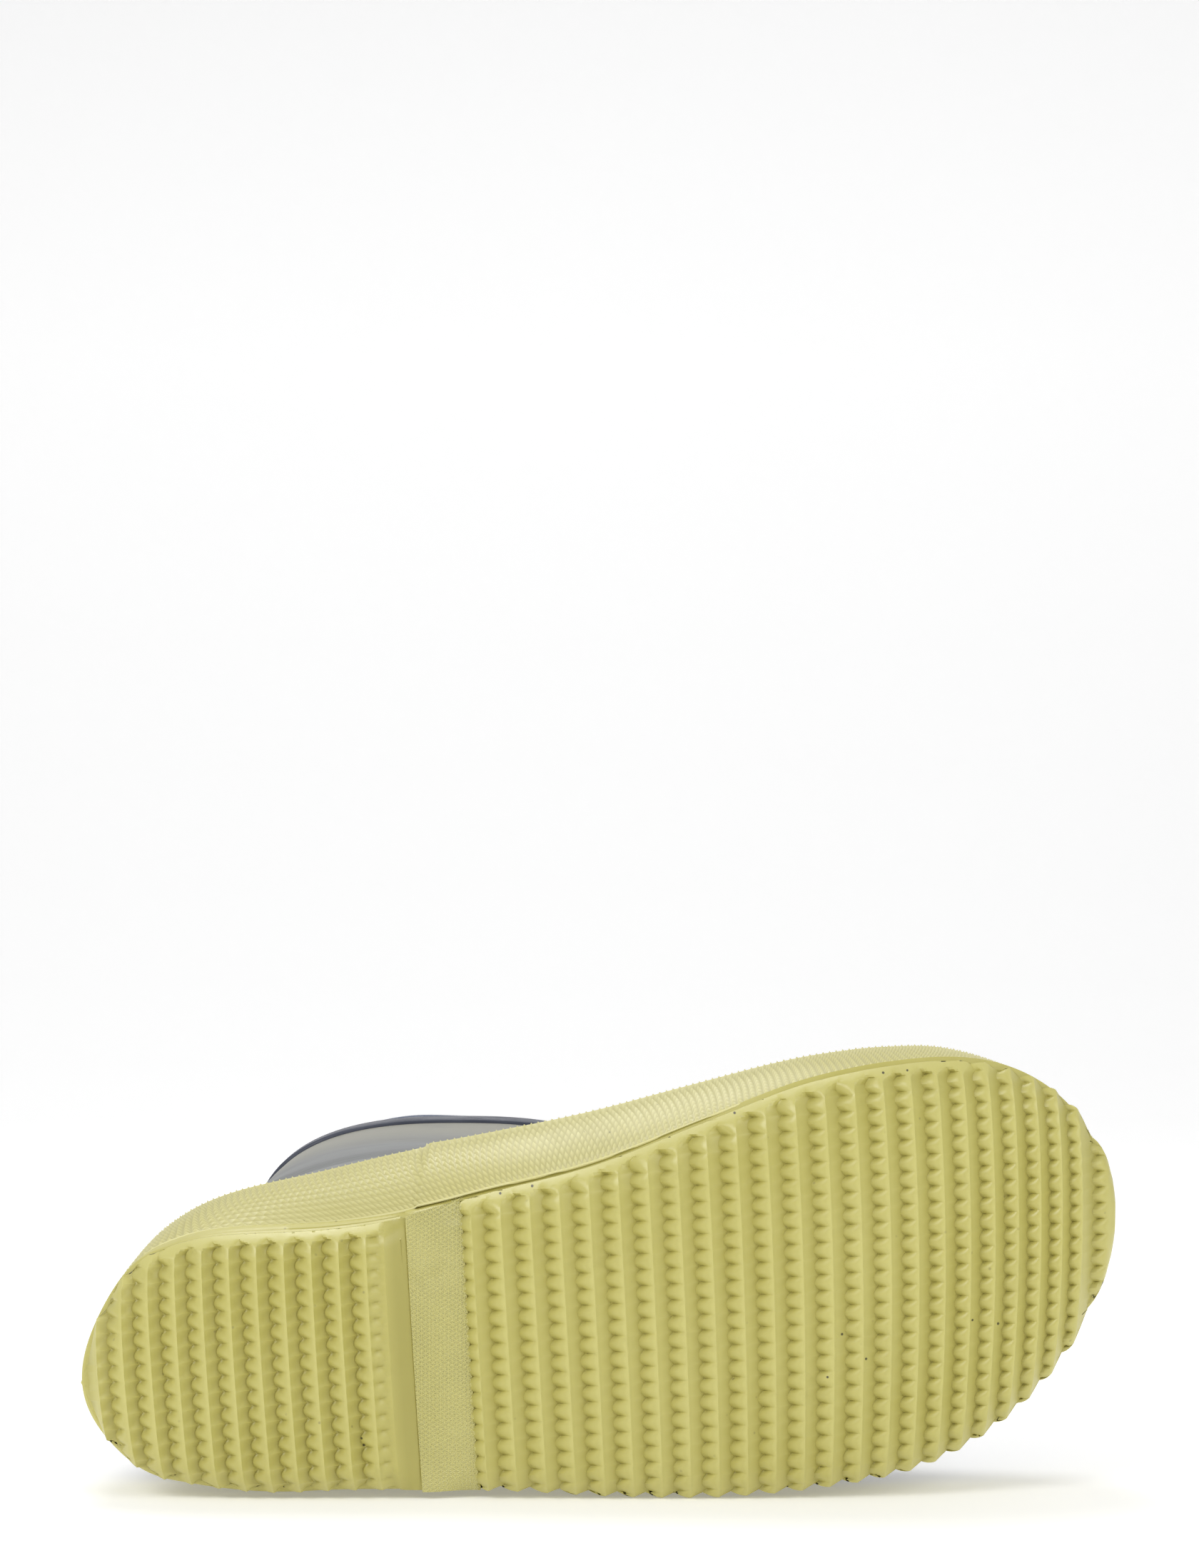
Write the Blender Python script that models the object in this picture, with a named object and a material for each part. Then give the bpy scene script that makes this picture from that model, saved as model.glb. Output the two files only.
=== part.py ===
"""A child's lined rubber boot for the left foot, lying on its outer side.

The boot is worked out as it stands: x runs from the heel to the toe, m towards the inner (medial) side
and z up from the ground. An empty then lays it down, so that the edge of the sole and the side of the
shaft rest on the ground and the inner side is up. All lengths are in metres.
"""

import math

import bpy
import numpy as np

# The foot: length of the sole, width over the ball, and heights above the sole
SOLE_LENGTH = 0.1859
BALL_WIDTH = 0.0762
INSTEP_HEIGHT = 0.060
TOE_SPRING = 0.014
HEEL_ROUND = 0.040
TOE_ROUND = 0.046

# The shaft: from the sole's upper face to the collar, and the oval of the collar
SHAFT_HEIGHT = 0.1815
COLLAR_LENGTH = 0.0954
COLLAR_WIDTH = 0.0595
SHAFT_SET_BACK = 0.0620
SHAFT_SQUARENESS = 2.6

# Walls, sheets and the clearance between pieces
WALL = 0.0022
CLEARANCE = 0.0004
FOXING_THICKNESS = 0.0016
FOXING_HEIGHT = 0.0150
FOXING_TOE_RISE = 0.0030
FOXING_HEEL_RISE = 0.0025
INSOLE_THICKNESS = 0.0030

# The sole: heights over the ground, the rounded edge and the ribs
FOREFOOT_THICKNESS = 0.0065
HEEL_STACK = 0.0105
HEEL_THICKNESS = 0.0062
TREAD_DEPTH = 0.0020
WAIST_DEPTH = 0.0036
EDGE_RISE = 0.0032
TREAD_CROWN = 0.0010
INNER_MARGIN = 0.0003
OUTER_MARGIN = 0.0001
HEEL_MARGIN = 0.0003
RIB_NOTCH = 0.0008
FOREFOOT_PITCH = 0.00519
FOREFOOT_RIBS = 23
FLAT_RIBS = 14
PITCH_LOSS = 0.00016
HEEL_PITCH = 0.00482
HEEL_RIBS = 11
FIRST_FOREFOOT_CREST = 0.0707
LAST_HEEL_CREST = 0.0520
BREAST_RUN = 0.0035
LIP_SHARE = 0.65
LEAD_SHARE = 0.42
VALLEY_SHARE = 0.45

# The navy binding and the textile cuff at the collar
BINDING_THICKNESS = 0.0010
BINDING_HEIGHT = 0.0080
BINDING_RECESS = 0.0006
CUFF_THICKNESS = 0.0022
CUFF_DEPTH = 0.0220
CUFF_RISE = 0.0085
CUFF_PUFF = 0.0027
PUFF_AT = math.radians(98)
PUFF_SPREAD = math.radians(33)

# How the boot lies: the sole's long axis climbs to the toe, and the shaft is pressed flat by a little
REST_LEAN = math.radians(3.5)
REST_PRESS = 0.0009

# How finely the shells are cut
AROUND = 52
RINGS = 27

# Outline of the foot in plan. Centre, half width and the inner side's overhang over the sole are
# shares of the ball width, and the half width leaves out the rounding of the heel and the toe.
OUTLINE_COLUMNS = ("share", "centre", "half_width", "overhang")
OUTLINE = (
    (0.00, -0.070, 0.320, 0.000),
    (0.05, -0.042, 0.369, 0.014),
    (0.10, -0.018, 0.362, 0.051),
    (0.20, 0.000, 0.358, 0.099),
    (0.30, 0.018, 0.384, 0.133),
    (0.40, 0.030, 0.411, 0.124),
    (0.50, 0.035, 0.443, 0.113),
    (0.60, 0.051, 0.475, 0.083),
    (0.70, 0.077, 0.494, 0.051),
    (0.80, 0.101, 0.492, 0.032),
    (0.90, 0.143, 0.494, 0.015),
    (1.00, 0.190, 0.490, 0.000),
)

# Top line of the foot over the sole's upper face, as shares of the instep height. Behind the instep
# the line runs on inside the shaft.
TOP_COLUMNS = ("share", "top")
TOP_LINE = (
    (0.00, 1.15),
    (0.10, 1.35),
    (0.20, 1.58),
    (0.30, 1.72),
    (0.40, 1.64),
    (0.50, 1.36),
    (0.60, 1.00),
    (0.70, 0.81),
    (0.80, 0.71),
    (0.90, 0.66),
    (1.00, 0.62),
)

# The shaft's ovals by height: where the centre lies, as a share of the collar's set-back, and the
# length and width as shares of the collar's
LEG_COLUMNS = ("share", "centre", "length", "width")
LEG = (
    (0.00, 0.870, 0.70, 0.40),
    (0.08, 0.875, 0.80, 0.62),
    (0.20, 0.885, 0.91, 0.82),
    (0.35, 0.930, 0.965, 0.875),
    (0.50, 0.937, 0.950, 0.885),
    (0.65, 0.942, 0.935, 0.897),
    (0.80, 0.963, 0.955, 0.925),
    (0.92, 0.990, 0.990, 0.970),
    (1.00, 1.000, 1.000, 1.000),
)

# The shells' rings fan open over the vamp: height of each ring's plane at the heel and at the toe, as
# shares of the height from the sole to the binding
FAN_COLUMNS = ("step", "at_heel", "at_toe")
FAN = (
    (0.00, 0.000, 0.000),
    (0.14, 0.088, 0.088),
    (0.24, 0.125, 0.190),
    (0.34, 0.155, 0.330),
    (0.44, 0.195, 0.520),
    (0.54, 0.280, 0.700),
    (0.64, 0.410, 0.800),
    (0.76, 0.600, 0.870),
    (0.88, 0.810, 0.945),
    (1.00, 1.000, 1.000),
)

BINDING_FOOT = SHAFT_HEIGHT - BINDING_HEIGHT
WIDEST_HEIGHT = FOXING_HEIGHT * 0.93
OVERHANG_HEIGHT = FOXING_HEIGHT * 1.2
FOXING_STAND = FOXING_THICKNESS + CLEARANCE
BLEND = 0.20


def column(columns, rows, name):
    """One named column of a table, as an array."""
    return np.array([row[columns.index(name)] for row in rows], float)


def follow(columns, rows, name, at):
    """The smooth curve through one column of a table, read at the given places of its first column."""
    knots = column(columns, rows, columns[0])
    values = column(columns, rows, name)
    at = np.clip(np.asarray(at, float), knots[0], knots[-1])
    slopes = np.gradient(values, knots)
    left = np.clip(np.searchsorted(knots, at, side="right") - 1, 0, len(knots) - 2)
    run = knots[left + 1] - knots[left]
    s = (at - knots[left]) / run
    return (
        values[left] * (1 + 2 * s) * (1 - s) ** 2
        + slopes[left] * run * s * (1 - s) ** 2
        + values[left + 1] * s**2 * (3 - 2 * s)
        + slopes[left + 1] * run * s**2 * (s - 1)
    )


def ease(start, end, at):
    """A smooth step from 0 at start to 1 at end."""
    s = np.clip((np.asarray(at, float) - start) / (end - start), 0.0, 1.0)
    return s * s * (3 - 2 * s)


def centre_line(x):
    return follow(OUTLINE_COLUMNS, OUTLINE, "centre", x / SOLE_LENGTH) * BALL_WIDTH


def full_half_width(x):
    """Half the foot's width in plan, before the heel and the toe are rounded."""
    return follow(OUTLINE_COLUMNS, OUTLINE, "half_width", x / SOLE_LENGTH) * BALL_WIDTH


def overhang(x):
    """How far the foot stands out over the sole on the inner side."""
    return follow(OUTLINE_COLUMNS, OUTLINE, "overhang", x / SOLE_LENGTH) * BALL_WIDTH


def end_share(x, inset=0.0):
    """How far x is into the rounded heel or toe: 0 along the middle, 1 at the tip."""
    heel = (HEEL_ROUND - x) / (HEEL_ROUND - inset)
    toe = (x - SOLE_LENGTH + TOE_ROUND) / (TOE_ROUND - inset)
    return np.clip(np.maximum(heel, toe), 0.0, None)


def sole_edges(x, inset=0.0, inner_margin=0.0):
    """The sole's outer and inner edge at x, the outer one first, pulled in by inset and margin."""
    rounding = np.sqrt(np.clip(1 - end_share(x, inset) ** 2, 0.0, 1.0))
    half = (full_half_width(x) - inset) * rounding
    setting = (overhang(x) + inner_margin) * rounding
    return centre_line(x) - half, centre_line(x) + half - setting


def toe_spring(x):
    return TOE_SPRING * np.clip((x / SOLE_LENGTH - 0.66) / 0.34, 0.0, None) ** 1.8


def sole_top(x):
    """Height of the sole's upper face over the ground."""
    shank = ease(0.20 * SOLE_LENGTH, 0.44 * SOLE_LENGTH, x)
    return HEEL_STACK + (FOREFOOT_THICKNESS - HEEL_STACK) * shank + toe_spring(x)


def ground_height(x, h):
    """Height over the ground of a point at height h over the sole: the shaft ignores the toe spring."""
    fade = 1 - ease(0.18 * SHAFT_HEIGHT, 0.55 * SHAFT_HEIGHT, h)
    return h + HEEL_STACK + (sole_top(x) - HEEL_STACK) * fade


def rest_line(x):
    """Where the ground touches the lying boot's outer side, as m at x."""
    stations = np.linspace(0.0, SOLE_LENGTH, 200)
    outer, _ = sole_edges(stations)
    touch = np.min(outer + math.tan(REST_LEAN) * stations)
    return touch - math.tan(REST_LEAN) * x


def leg_axis(h):
    """The shaft's centre across the boot: over the foot's centre below, resting on the ground above."""
    collar = rest_line(SHAFT_SET_BACK) + COLLAR_WIDTH / 2 - REST_PRESS
    return centre_line(SHAFT_SET_BACK) + (collar - centre_line(SHAFT_SET_BACK)) * ease(
        0.3 * SHAFT_HEIGHT, SHAFT_HEIGHT, h
    )


def foot_inside(x, m, h):
    """Above zero inside the foot, zero on the upper's skin."""
    grown = 1 - (1 - np.clip(h / OVERHANG_HEIGHT, 0.0, 1.0)) ** 2
    across = m - centre_line(x)
    half = full_half_width(x) - FOXING_STAND
    half = np.where(across > 0, half - overhang(x) * (1 - grown), half)
    top = follow(TOP_COLUMNS, TOP_LINE, "top", x / SOLE_LENGTH) * INSTEP_HEIGHT
    rise = np.clip((h - WIDEST_HEIGHT) / (top - WIDEST_HEIGHT), 0.0, None)
    return 1 - (across / half) ** 2 - end_share(x, FOXING_STAND) ** 2 - rise**2.3


def leg_inside(x, m, h):
    """Above zero inside the shaft, zero on its skin."""
    share = h / SHAFT_HEIGHT
    centre = follow(LEG_COLUMNS, LEG, "centre", share) * SHAFT_SET_BACK
    length = follow(LEG_COLUMNS, LEG, "length", share) * COLLAR_LENGTH / 2
    width = follow(LEG_COLUMNS, LEG, "width", share) * COLLAR_WIDTH / 2
    square = 2 + (SHAFT_SQUARENESS - 2) * ease(0.2, 0.9, share)
    level_way = math.tan(REST_LEAN) * ease(0.2, 0.9, share)
    across = m - leg_axis(h) + level_way * (x - centre)
    return 1 - np.abs((x - centre) / length) ** square - np.abs(across / width) ** square


def inside(x, m, h):
    """Foot and shaft flowing into each other."""
    foot = foot_inside(x, m, h)
    leg = leg_inside(x, m, h)
    return (foot + leg + np.sqrt((foot - leg) ** 2 + BLEND**2)) / 2


def skin_ring(at_heel, at_toe):
    """One ring of the upper's skin: the points and outward normals where a tilted plane cuts it.

    at_heel and at_toe are the plane's heights over the sole at the two ends, one value or one for each
    point of the ring.
    """
    turn = np.arange(AROUND) * 2 * math.pi / AROUND
    mean_height = float(np.mean(at_heel))
    origin_x = SOLE_LENGTH / 2 + (SHAFT_SET_BACK - SOLE_LENGTH / 2) * ease(
        0.1 * SHAFT_HEIGHT, 0.5 * SHAFT_HEIGHT, mean_height
    )
    origin_m = float(leg_axis(mean_height))
    slope = (at_toe - at_heel) / SOLE_LENGTH
    reach = 1 - ease(0.1 * SHAFT_HEIGHT, 0.6 * SHAFT_HEIGHT, mean_height)
    long_way = COLLAR_LENGTH / 2 + (SOLE_LENGTH - COLLAR_LENGTH) / 2 * reach
    wide_way = COLLAR_WIDTH / 2 + (BALL_WIDTH - COLLAR_WIDTH) / 2 * reach
    way = np.stack([np.cos(turn) * long_way, np.sin(turn) * wide_way])
    way /= np.hypot(way[0], way[1])

    def place(distance):
        x = origin_x + way[0] * distance
        return x, origin_m + way[1] * distance, at_heel + slope * x

    step = 0.001
    near = np.zeros(AROUND)
    running = np.ones(AROUND, bool)
    while running.any():
        running &= inside(*place(near + step)) > 0
        near = near + step * running
    far = near + step
    for _ in range(24):
        middle = (near + far) / 2
        in_there = inside(*place(middle)) > 0
        near = np.where(in_there, middle, near)
        far = np.where(in_there, far, middle)
    x, m, h = place(near)
    nudge = 0.0002
    normal = -np.stack(
        [
            inside(x + nudge, m, h) - inside(x - nudge, m, h),
            inside(x, m + nudge, h) - inside(x, m - nudge, h),
            inside(x, m, h + nudge) - inside(x, m, h - nudge),
        ],
        axis=1,
    )
    normal /= np.linalg.norm(normal, axis=1)[:, None]
    return np.stack([x, m, h], axis=1), normal


def level(normal):
    """The normals turned into the ring's own level, for rings that end a piece."""
    flat = normal * np.array([1.0, 1.0, 0.0])
    return flat / np.linalg.norm(flat, axis=1)[:, None]


def off_ground(points, allowance=0.0):
    """Points pressed in where they would reach past the ground that the lying boot rests on."""
    pressed = points.copy()
    pressed[:, 1] = np.maximum(points[:, 1], rest_line(points[:, 0]) + allowance)
    return pressed


def under_foxing(h):
    """How far the upper keeps off the ground at height h, to leave room for the foxing."""
    top = FOXING_HEIGHT + max(FOXING_TOE_RISE, FOXING_HEEL_RISE)
    return FOXING_STAND * (1 - ease(top, top + 0.004, h))


def standing(points):
    """From x, m and the height over the sole to x, y and z of the standing boot."""
    points = np.asarray(points, float)
    x, m, h = points[..., 0], points[..., 1], points[..., 2]
    return np.stack([x, -m, ground_height(x, h)], axis=-1)


def add_object(name, points, faces, material):
    """An object from points and faces, with every face pointing out."""
    mesh = bpy.data.meshes.new(name)
    mesh.from_pydata([tuple(p) for p in points], [], [tuple(f) for f in faces])
    volume = 0.0
    mesh.calc_loop_triangles()
    for triangle in mesh.loop_triangles:
        a, b, c = (mesh.vertices[i].co for i in triangle.vertices)
        volume += a.dot(b.cross(c))
    if volume < 0:
        mesh.flip_normals()
    mesh.shade_smooth()
    mesh.set_sharp_from_angle(angle=math.radians(35))
    mesh.materials.append(material)
    thing = bpy.data.objects.new(name, mesh)
    bpy.context.collection.objects.link(thing)
    return thing


def ring_solid(name, rings, material):
    """A closed band: rings of AROUND points, each joined to the next and the last to the first.

    Every diagonal rises the same way round, so that bands lying on each other keep their clearance.
    """
    points = np.concatenate(rings)
    faces = []
    count = len(rings)
    for i in range(count):
        here, there = i * AROUND, (i + 1) % count * AROUND
        rising = rings[(i + 1) % count][:, 2].mean() > rings[i][:, 2].mean()
        for j in range(AROUND):
            k = (j + 1) % AROUND
            if rising:
                faces.append((here + j, here + k, there + k))
                faces.append((here + j, there + k, there + j))
            else:
                faces.append((here + j, here + k, there + j))
                faces.append((here + k, there + k, there + j))
    return add_object(name, points, faces, material)


def slab(name, lower, upper, material):
    """A closed sheet between two grids of points of the same shape, rows by columns."""
    rows, columns = lower.shape[:2]
    points = np.concatenate([lower.reshape(-1, 3), upper.reshape(-1, 3)])
    shift = rows * columns
    faces = []
    for i in range(rows - 1):
        for j in range(columns - 1):
            a = i * columns + j
            quad = (a, a + 1, a + columns + 1, a + columns)
            faces.append(quad)
            faces.append(tuple(shift + v for v in reversed(quad)))
    border = [j for j in range(columns)]
    border += [i * columns + columns - 1 for i in range(1, rows)]
    border += [(rows - 1) * columns + j for j in range(columns - 2, -1, -1)]
    border += [i * columns for i in range(rows - 2, 0, -1)]
    for here, there in zip(border, border[1:] + border[:1]):
        faces.append((there, here, here + shift, there + shift))
    return add_object(name, points, faces, material)


def make_material(name, colour, roughness):
    material = bpy.data.materials.new(name)
    material.use_nodes = True
    shader = material.node_tree.nodes["Principled BSDF"]
    shader.inputs["Base Color"].default_value = (*colour, 1.0)
    shader.inputs["Roughness"].default_value = roughness
    shader.inputs["Metallic"].default_value = 0.0
    return material


def make_upper(material):
    """The hollow shell of vamp and shaft, open underneath and at the collar."""
    body = BINDING_FOOT - CLEARANCE
    steps = np.linspace(0.0, 1.0, RINGS)
    outer, inner = [], []
    for number, step in enumerate(steps):
        at_heel = follow(FAN_COLUMNS, FAN, "at_heel", step) * body + CLEARANCE * (1 - step)
        at_toe = follow(FAN_COLUMNS, FAN, "at_toe", step) * body + CLEARANCE * (1 - step)
        points, normal = skin_ring(at_heel, at_toe)
        if number == 0:
            normal = level(normal)
        lifted = under_foxing(points[:, 2])
        outer.append(off_ground(points, lifted))
        if number % 2 == 0:
            inner.append(off_ground(points - normal * WALL, lifted + WALL))
    recess = BINDING_THICKNESS + CLEARANCE
    for height in (BINDING_FOOT, SHAFT_HEIGHT):
        points, normal = skin_ring(height, height)
        outer.append(off_ground(points - level(normal) * BINDING_RECESS, recess))
    inner.append(off_ground(points - level(normal) * (WALL + BINDING_RECESS), recess + WALL))
    rings = outer + inner[::-1]
    return ring_solid("upper", [standing(r) for r in rings], material)


def foxing_height():
    """The foxing's height over the sole at each point around, a little taller at the toe and the heel."""
    turn = np.arange(AROUND) * 2 * math.pi / AROUND
    toe = np.clip(np.cos(turn), 0.0, None) ** 6
    heel = np.clip(-np.cos(turn), 0.0, None) ** 6
    return FOXING_HEIGHT + FOXING_TOE_RISE * toe + FOXING_HEEL_RISE * heel


def make_foxing(material):
    """The band round the lower foot, from the edge of the sole up over the upper."""
    near, far = [], []
    for share in (0.0, 0.22, 0.45, 0.70, 0.92, 1.0):
        height = CLEARANCE + (foxing_height() - CLEARANCE) * share
        points, normal = skin_ring(height, height)
        gap = CLEARANCE
        if share == 0.0:
            gap = CLEARANCE / np.hypot(normal[:, 0], normal[:, 1])[:, None]
            normal = level(normal)
        taper = 0.55 if share == 1.0 else 1.0
        near.append(off_ground(points + normal * gap, FOXING_THICKNESS))
        far.append(off_ground(points + normal * (CLEARANCE + FOXING_THICKNESS * taper)))
    return ring_solid("foxing", [standing(r) for r in far + near[::-1]], material)


def make_binding(material):
    """The navy edging over the collar's edge: down the outside, and across the top of the wall."""
    foot = BINDING_FOOT + CLEARANCE
    top = SHAFT_HEIGHT + CLEARANCE
    seat = CLEARANCE - BINDING_RECESS
    out = seat + BINDING_THICKNESS
    back = -(WALL + BINDING_RECESS)
    roof = top + BINDING_THICKNESS * 0.8
    profile = (
        (seat, foot, BINDING_THICKNESS),
        (out * 0.8, foot, BINDING_THICKNESS * 0.2),
        (out, foot + 0.15 * BINDING_HEIGHT, 0.0),
        (out, SHAFT_HEIGHT, 0.0),
        (out * 0.6, roof, BINDING_THICKNESS * 0.5),
        (back, roof, BINDING_THICKNESS + WALL),
        (back, top, BINDING_THICKNESS + WALL),
        (seat, top, BINDING_THICKNESS),
    )
    rings = []
    for offset, height, allowance in profile:
        points, normal = skin_ring(min(height, SHAFT_HEIGHT), min(height, SHAFT_HEIGHT))
        points = points + level(normal) * offset
        points[:, 2] = height
        rings.append(standing(off_ground(points, allowance)))
    return ring_solid("collar_binding", rings, material)


def make_cuff(material):
    """The textile edge of the lining, from inside the shaft up over the binding, puffed out on one side."""
    turn = np.arange(AROUND) * 2 * math.pi / AROUND
    puff = CUFF_PUFF * np.exp(-(((turn - PUFF_AT) / PUFF_SPREAD) ** 2))
    skin = -(WALL + BINDING_RECESS + CLEARANCE)
    inner = skin - CUFF_THICKNESS
    roof = SHAFT_HEIGHT + CLEARANCE * 2 + BINDING_THICKNESS * 0.8
    tip = SHAFT_HEIGHT + CUFF_RISE
    shoulder = roof + (tip - roof) * 0.45
    allowance = BINDING_THICKNESS + WALL + 2 * CLEARANCE
    profile = (
        (skin, SHAFT_HEIGHT - CUFF_DEPTH, 0.0, allowance),
        (skin, SHAFT_HEIGHT - BINDING_HEIGHT, 0.0, allowance),
        (skin, roof, 0.0, allowance),
        (skin + 0.35 * CUFF_THICKNESS, roof + 0.2 * (tip - roof), 0.7, allowance),
        (skin + 0.6 * CUFF_THICKNESS, shoulder, 1.0, allowance),
        (skin + 0.4 * CUFF_THICKNESS, roof + 0.8 * (tip - roof), 0.95, allowance),
        (skin - 0.2 * CUFF_THICKNESS, tip, 0.8, allowance + 0.4 * CUFF_THICKNESS),
        (inner, tip - 0.1 * (tip - roof), 0.6, allowance + CUFF_THICKNESS),
        (inner, shoulder, 0.3, allowance + CUFF_THICKNESS),
        (inner, SHAFT_HEIGHT - BINDING_HEIGHT, 0.0, allowance + CUFF_THICKNESS),
        (inner, SHAFT_HEIGHT - CUFF_DEPTH, 0.0, allowance + CUFF_THICKNESS),
    )
    rings = []
    for offset, height, puffed, kept in profile:
        points, normal = skin_ring(min(height, SHAFT_HEIGHT), min(height, SHAFT_HEIGHT))
        points = points + level(normal) * (offset + puffed * puff)[:, None]
        points[:, 2] = height
        rings.append(standing(off_ground(points, kept)))
    return ring_solid("cuff", rings, material)


def make_insole(material):
    """The inner sole, cut to the inside of the upper's lower edge."""
    points, normal = skin_ring(CLEARANCE, CLEARANCE)
    edge = points - level(normal) * (WALL + CLEARANCE)
    half = AROUND // 2
    grids = []
    for height in (CLEARANCE, CLEARANCE + INSOLE_THICKNESS):
        rows = []
        for j in range(1, half):
            inner_side, outer_side = edge[j], edge[AROUND - j]
            shares = np.linspace(0.0, 1.0, 5)[:, None]
            row = outer_side + (inner_side - outer_side) * shares
            row[:, 2] = height
            rows.append(row)
        grids.append(standing(np.array(rows)))
    return slab("insole", grids[0], grids[1], material)


def crest_line(u, m):
    """x of a line across the sole: straight at the waist, bowed and turned towards the heel and toe."""
    forward = np.clip((u - 0.40 * SOLE_LENGTH) / (0.54 * SOLE_LENGTH), 0.0, None)
    backward = np.clip((0.40 * SOLE_LENGTH - u) / (0.40 * SOLE_LENGTH), 0.0, None)
    turned = 0.112 * forward**1.6
    bowed = (-0.125 * forward**1.5 + 0.075 * backward + 0.15 * backward**8) / BALL_WIDTH
    return u + turned * m + bowed * m * m


def tip_station(inset):
    """Station of the line that just touches the toe's tip, with the edge pulled in by inset."""
    tip = centre_line(SOLE_LENGTH)
    return SOLE_LENGTH - inset - (crest_line(SOLE_LENGTH, tip) - SOLE_LENGTH)


def tread_grid(stations, notches, inset, margin, height):
    """Rows of points across the sole at the stations u, pulled in at the edges by inset and notch."""
    shares = np.array([0.0, 0.035, 0.10, 0.20, 0.35, 0.5, 0.65, 0.80, 0.90, 0.965, 1.0])
    grid = np.zeros((len(stations), len(shares), 3))
    for i, (u, notch) in enumerate(zip(stations, notches)):
        outer = inner = 0.0
        for _ in range(12):
            outer = (outer + float(sole_edges(crest_line(u, outer), inset + notch, margin)[0])) / 2
            inner = (inner + float(sole_edges(crest_line(u, inner), inset + notch, margin)[1])) / 2
        m = outer + (inner - outer) * shares
        grid[i, :, 0] = crest_line(u, m)
        grid[i, :, 1] = -m
        grid[i, :, 2] = height(i, grid[i, :, 0], m)
    return grid


def edge_rise(x, m):
    """How far the tread is rounded up at a point, by how near the sole's edge it is."""
    outer, inner = sole_edges(x)
    middle = (outer + inner) / 2
    rounding = np.sqrt(np.clip(1 - end_share(x) ** 2, 0.02, 1.0))
    half = np.maximum((inner - outer) / 2, 0.001) / rounding
    spread = np.sqrt(np.clip(((m - middle) / half) ** 2 + end_share(x) ** 2, 0.0, 1.0))
    return EDGE_RISE * np.clip((spread - 0.78) / 0.22, 0.0, 1.0) ** 2 + TREAD_CROWN * spread**2


def forefoot_crests():
    """Stations of the forefoot's rib crests, closer together over the toe."""
    crests = [FIRST_FOREFOOT_CREST]
    for number in range(1, FOREFOOT_RIBS):
        wrapped = max(0, number - FLAT_RIBS + 1)
        crests.append(crests[-1] + FOREFOOT_PITCH - PITCH_LOSS * wrapped)
    return crests


def ribs(crests, end):
    """Stations and depths of ribs, crest by crest with the valley after each, up to the end station."""
    rows = []
    for here, there in zip(crests, crests[1:] + [end]):
        rows.append((here, 0.0))
        rows.append((here + (there - here) * VALLEY_SHARE, TREAD_DEPTH))
    rows.append((end, 0.0))
    return rows


def make_outsole(material):
    """The full sole: forefoot ribs, the waist behind them, and the flat seat over the heel."""
    seat = HEEL_THICKNESS + CLEARANCE
    breast = LAST_HEEL_CREST + LIP_SHARE * HEEL_PITCH + BREAST_RUN
    waist_end = FIRST_FOREFOOT_CREST - LEAD_SHARE * FOREFOOT_PITCH
    rows = [(share * breast, seat) for share in (0.012, 0.03, 0.07, 0.14, 0.25, 0.4, 0.6, 0.8, 1.0)]
    for share in (0.0, 0.25, 0.5, 0.75, 1.0):
        depth = WAIST_DEPTH + (TREAD_DEPTH - WAIST_DEPTH) * share
        rows.append((breast + CLEARANCE + (waist_end - breast) * share, depth))
    tip = tip_station(OUTER_MARGIN)
    rows += ribs(forefoot_crests(), tip - 0.0013)
    rows += [(tip - short, 0.0) for short in (0.0005, 0.0001)]
    stations = [u for u, _ in rows]
    depths = [depth for _, depth in rows]
    notches = [RIB_NOTCH if u > waist_end and depth > 0 else 0.0 for u, depth in rows]

    def under(i, x, m):
        rounding = ease(breast, waist_end, stations[i])
        return toe_spring(x) + depths[i] + edge_rise(x, m) * rounding

    def over(i, x, m):
        return sole_top(x)

    lower = tread_grid(stations, notches, OUTER_MARGIN, INNER_MARGIN, under)
    stretch = (tip_station(0.0) - 0.0001) / stations[-1]
    upper = tread_grid([u * stretch for u in stations], [0.0] * len(rows), 0.0, 0.0, over)
    return slab("outsole", lower, upper, material)


def make_heel(material):
    """The heel piece: ribs of its own, and a smooth breast that slopes up to the waist."""
    crests = [LAST_HEEL_CREST - HEEL_PITCH * k for k in range(HEEL_RIBS - 1, -1, -1)]
    lip = LAST_HEEL_CREST + LIP_SHARE * HEEL_PITCH
    rows = [(0.15 * crests[0], 0.6 * TREAD_DEPTH)] + ribs(crests, lip)
    rows[-2] = (rows[-2][0], 0.5 * TREAD_DEPTH)
    stations = [u for u, _ in rows] + [lip + 0.97 * BREAST_RUN]
    depths = [depth for _, depth in rows] + [WAIST_DEPTH]
    notches = [RIB_NOTCH if depth == TREAD_DEPTH else 0.0 for _, depth in rows] + [0.0]

    def under(i, x, m):
        if i == len(stations) - 1:
            return np.full_like(x, depths[i])
        return depths[i] + edge_rise(x, m)

    def over(i, x, m):
        return np.full_like(x, HEEL_THICKNESS)

    lower = tread_grid(stations, notches, OUTER_MARGIN + HEEL_MARGIN, INNER_MARGIN, under)
    upper = tread_grid(stations, [0.0] * len(stations), HEEL_MARGIN, 0.0, over)
    return slab("heel", lower, upper, material)


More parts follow.
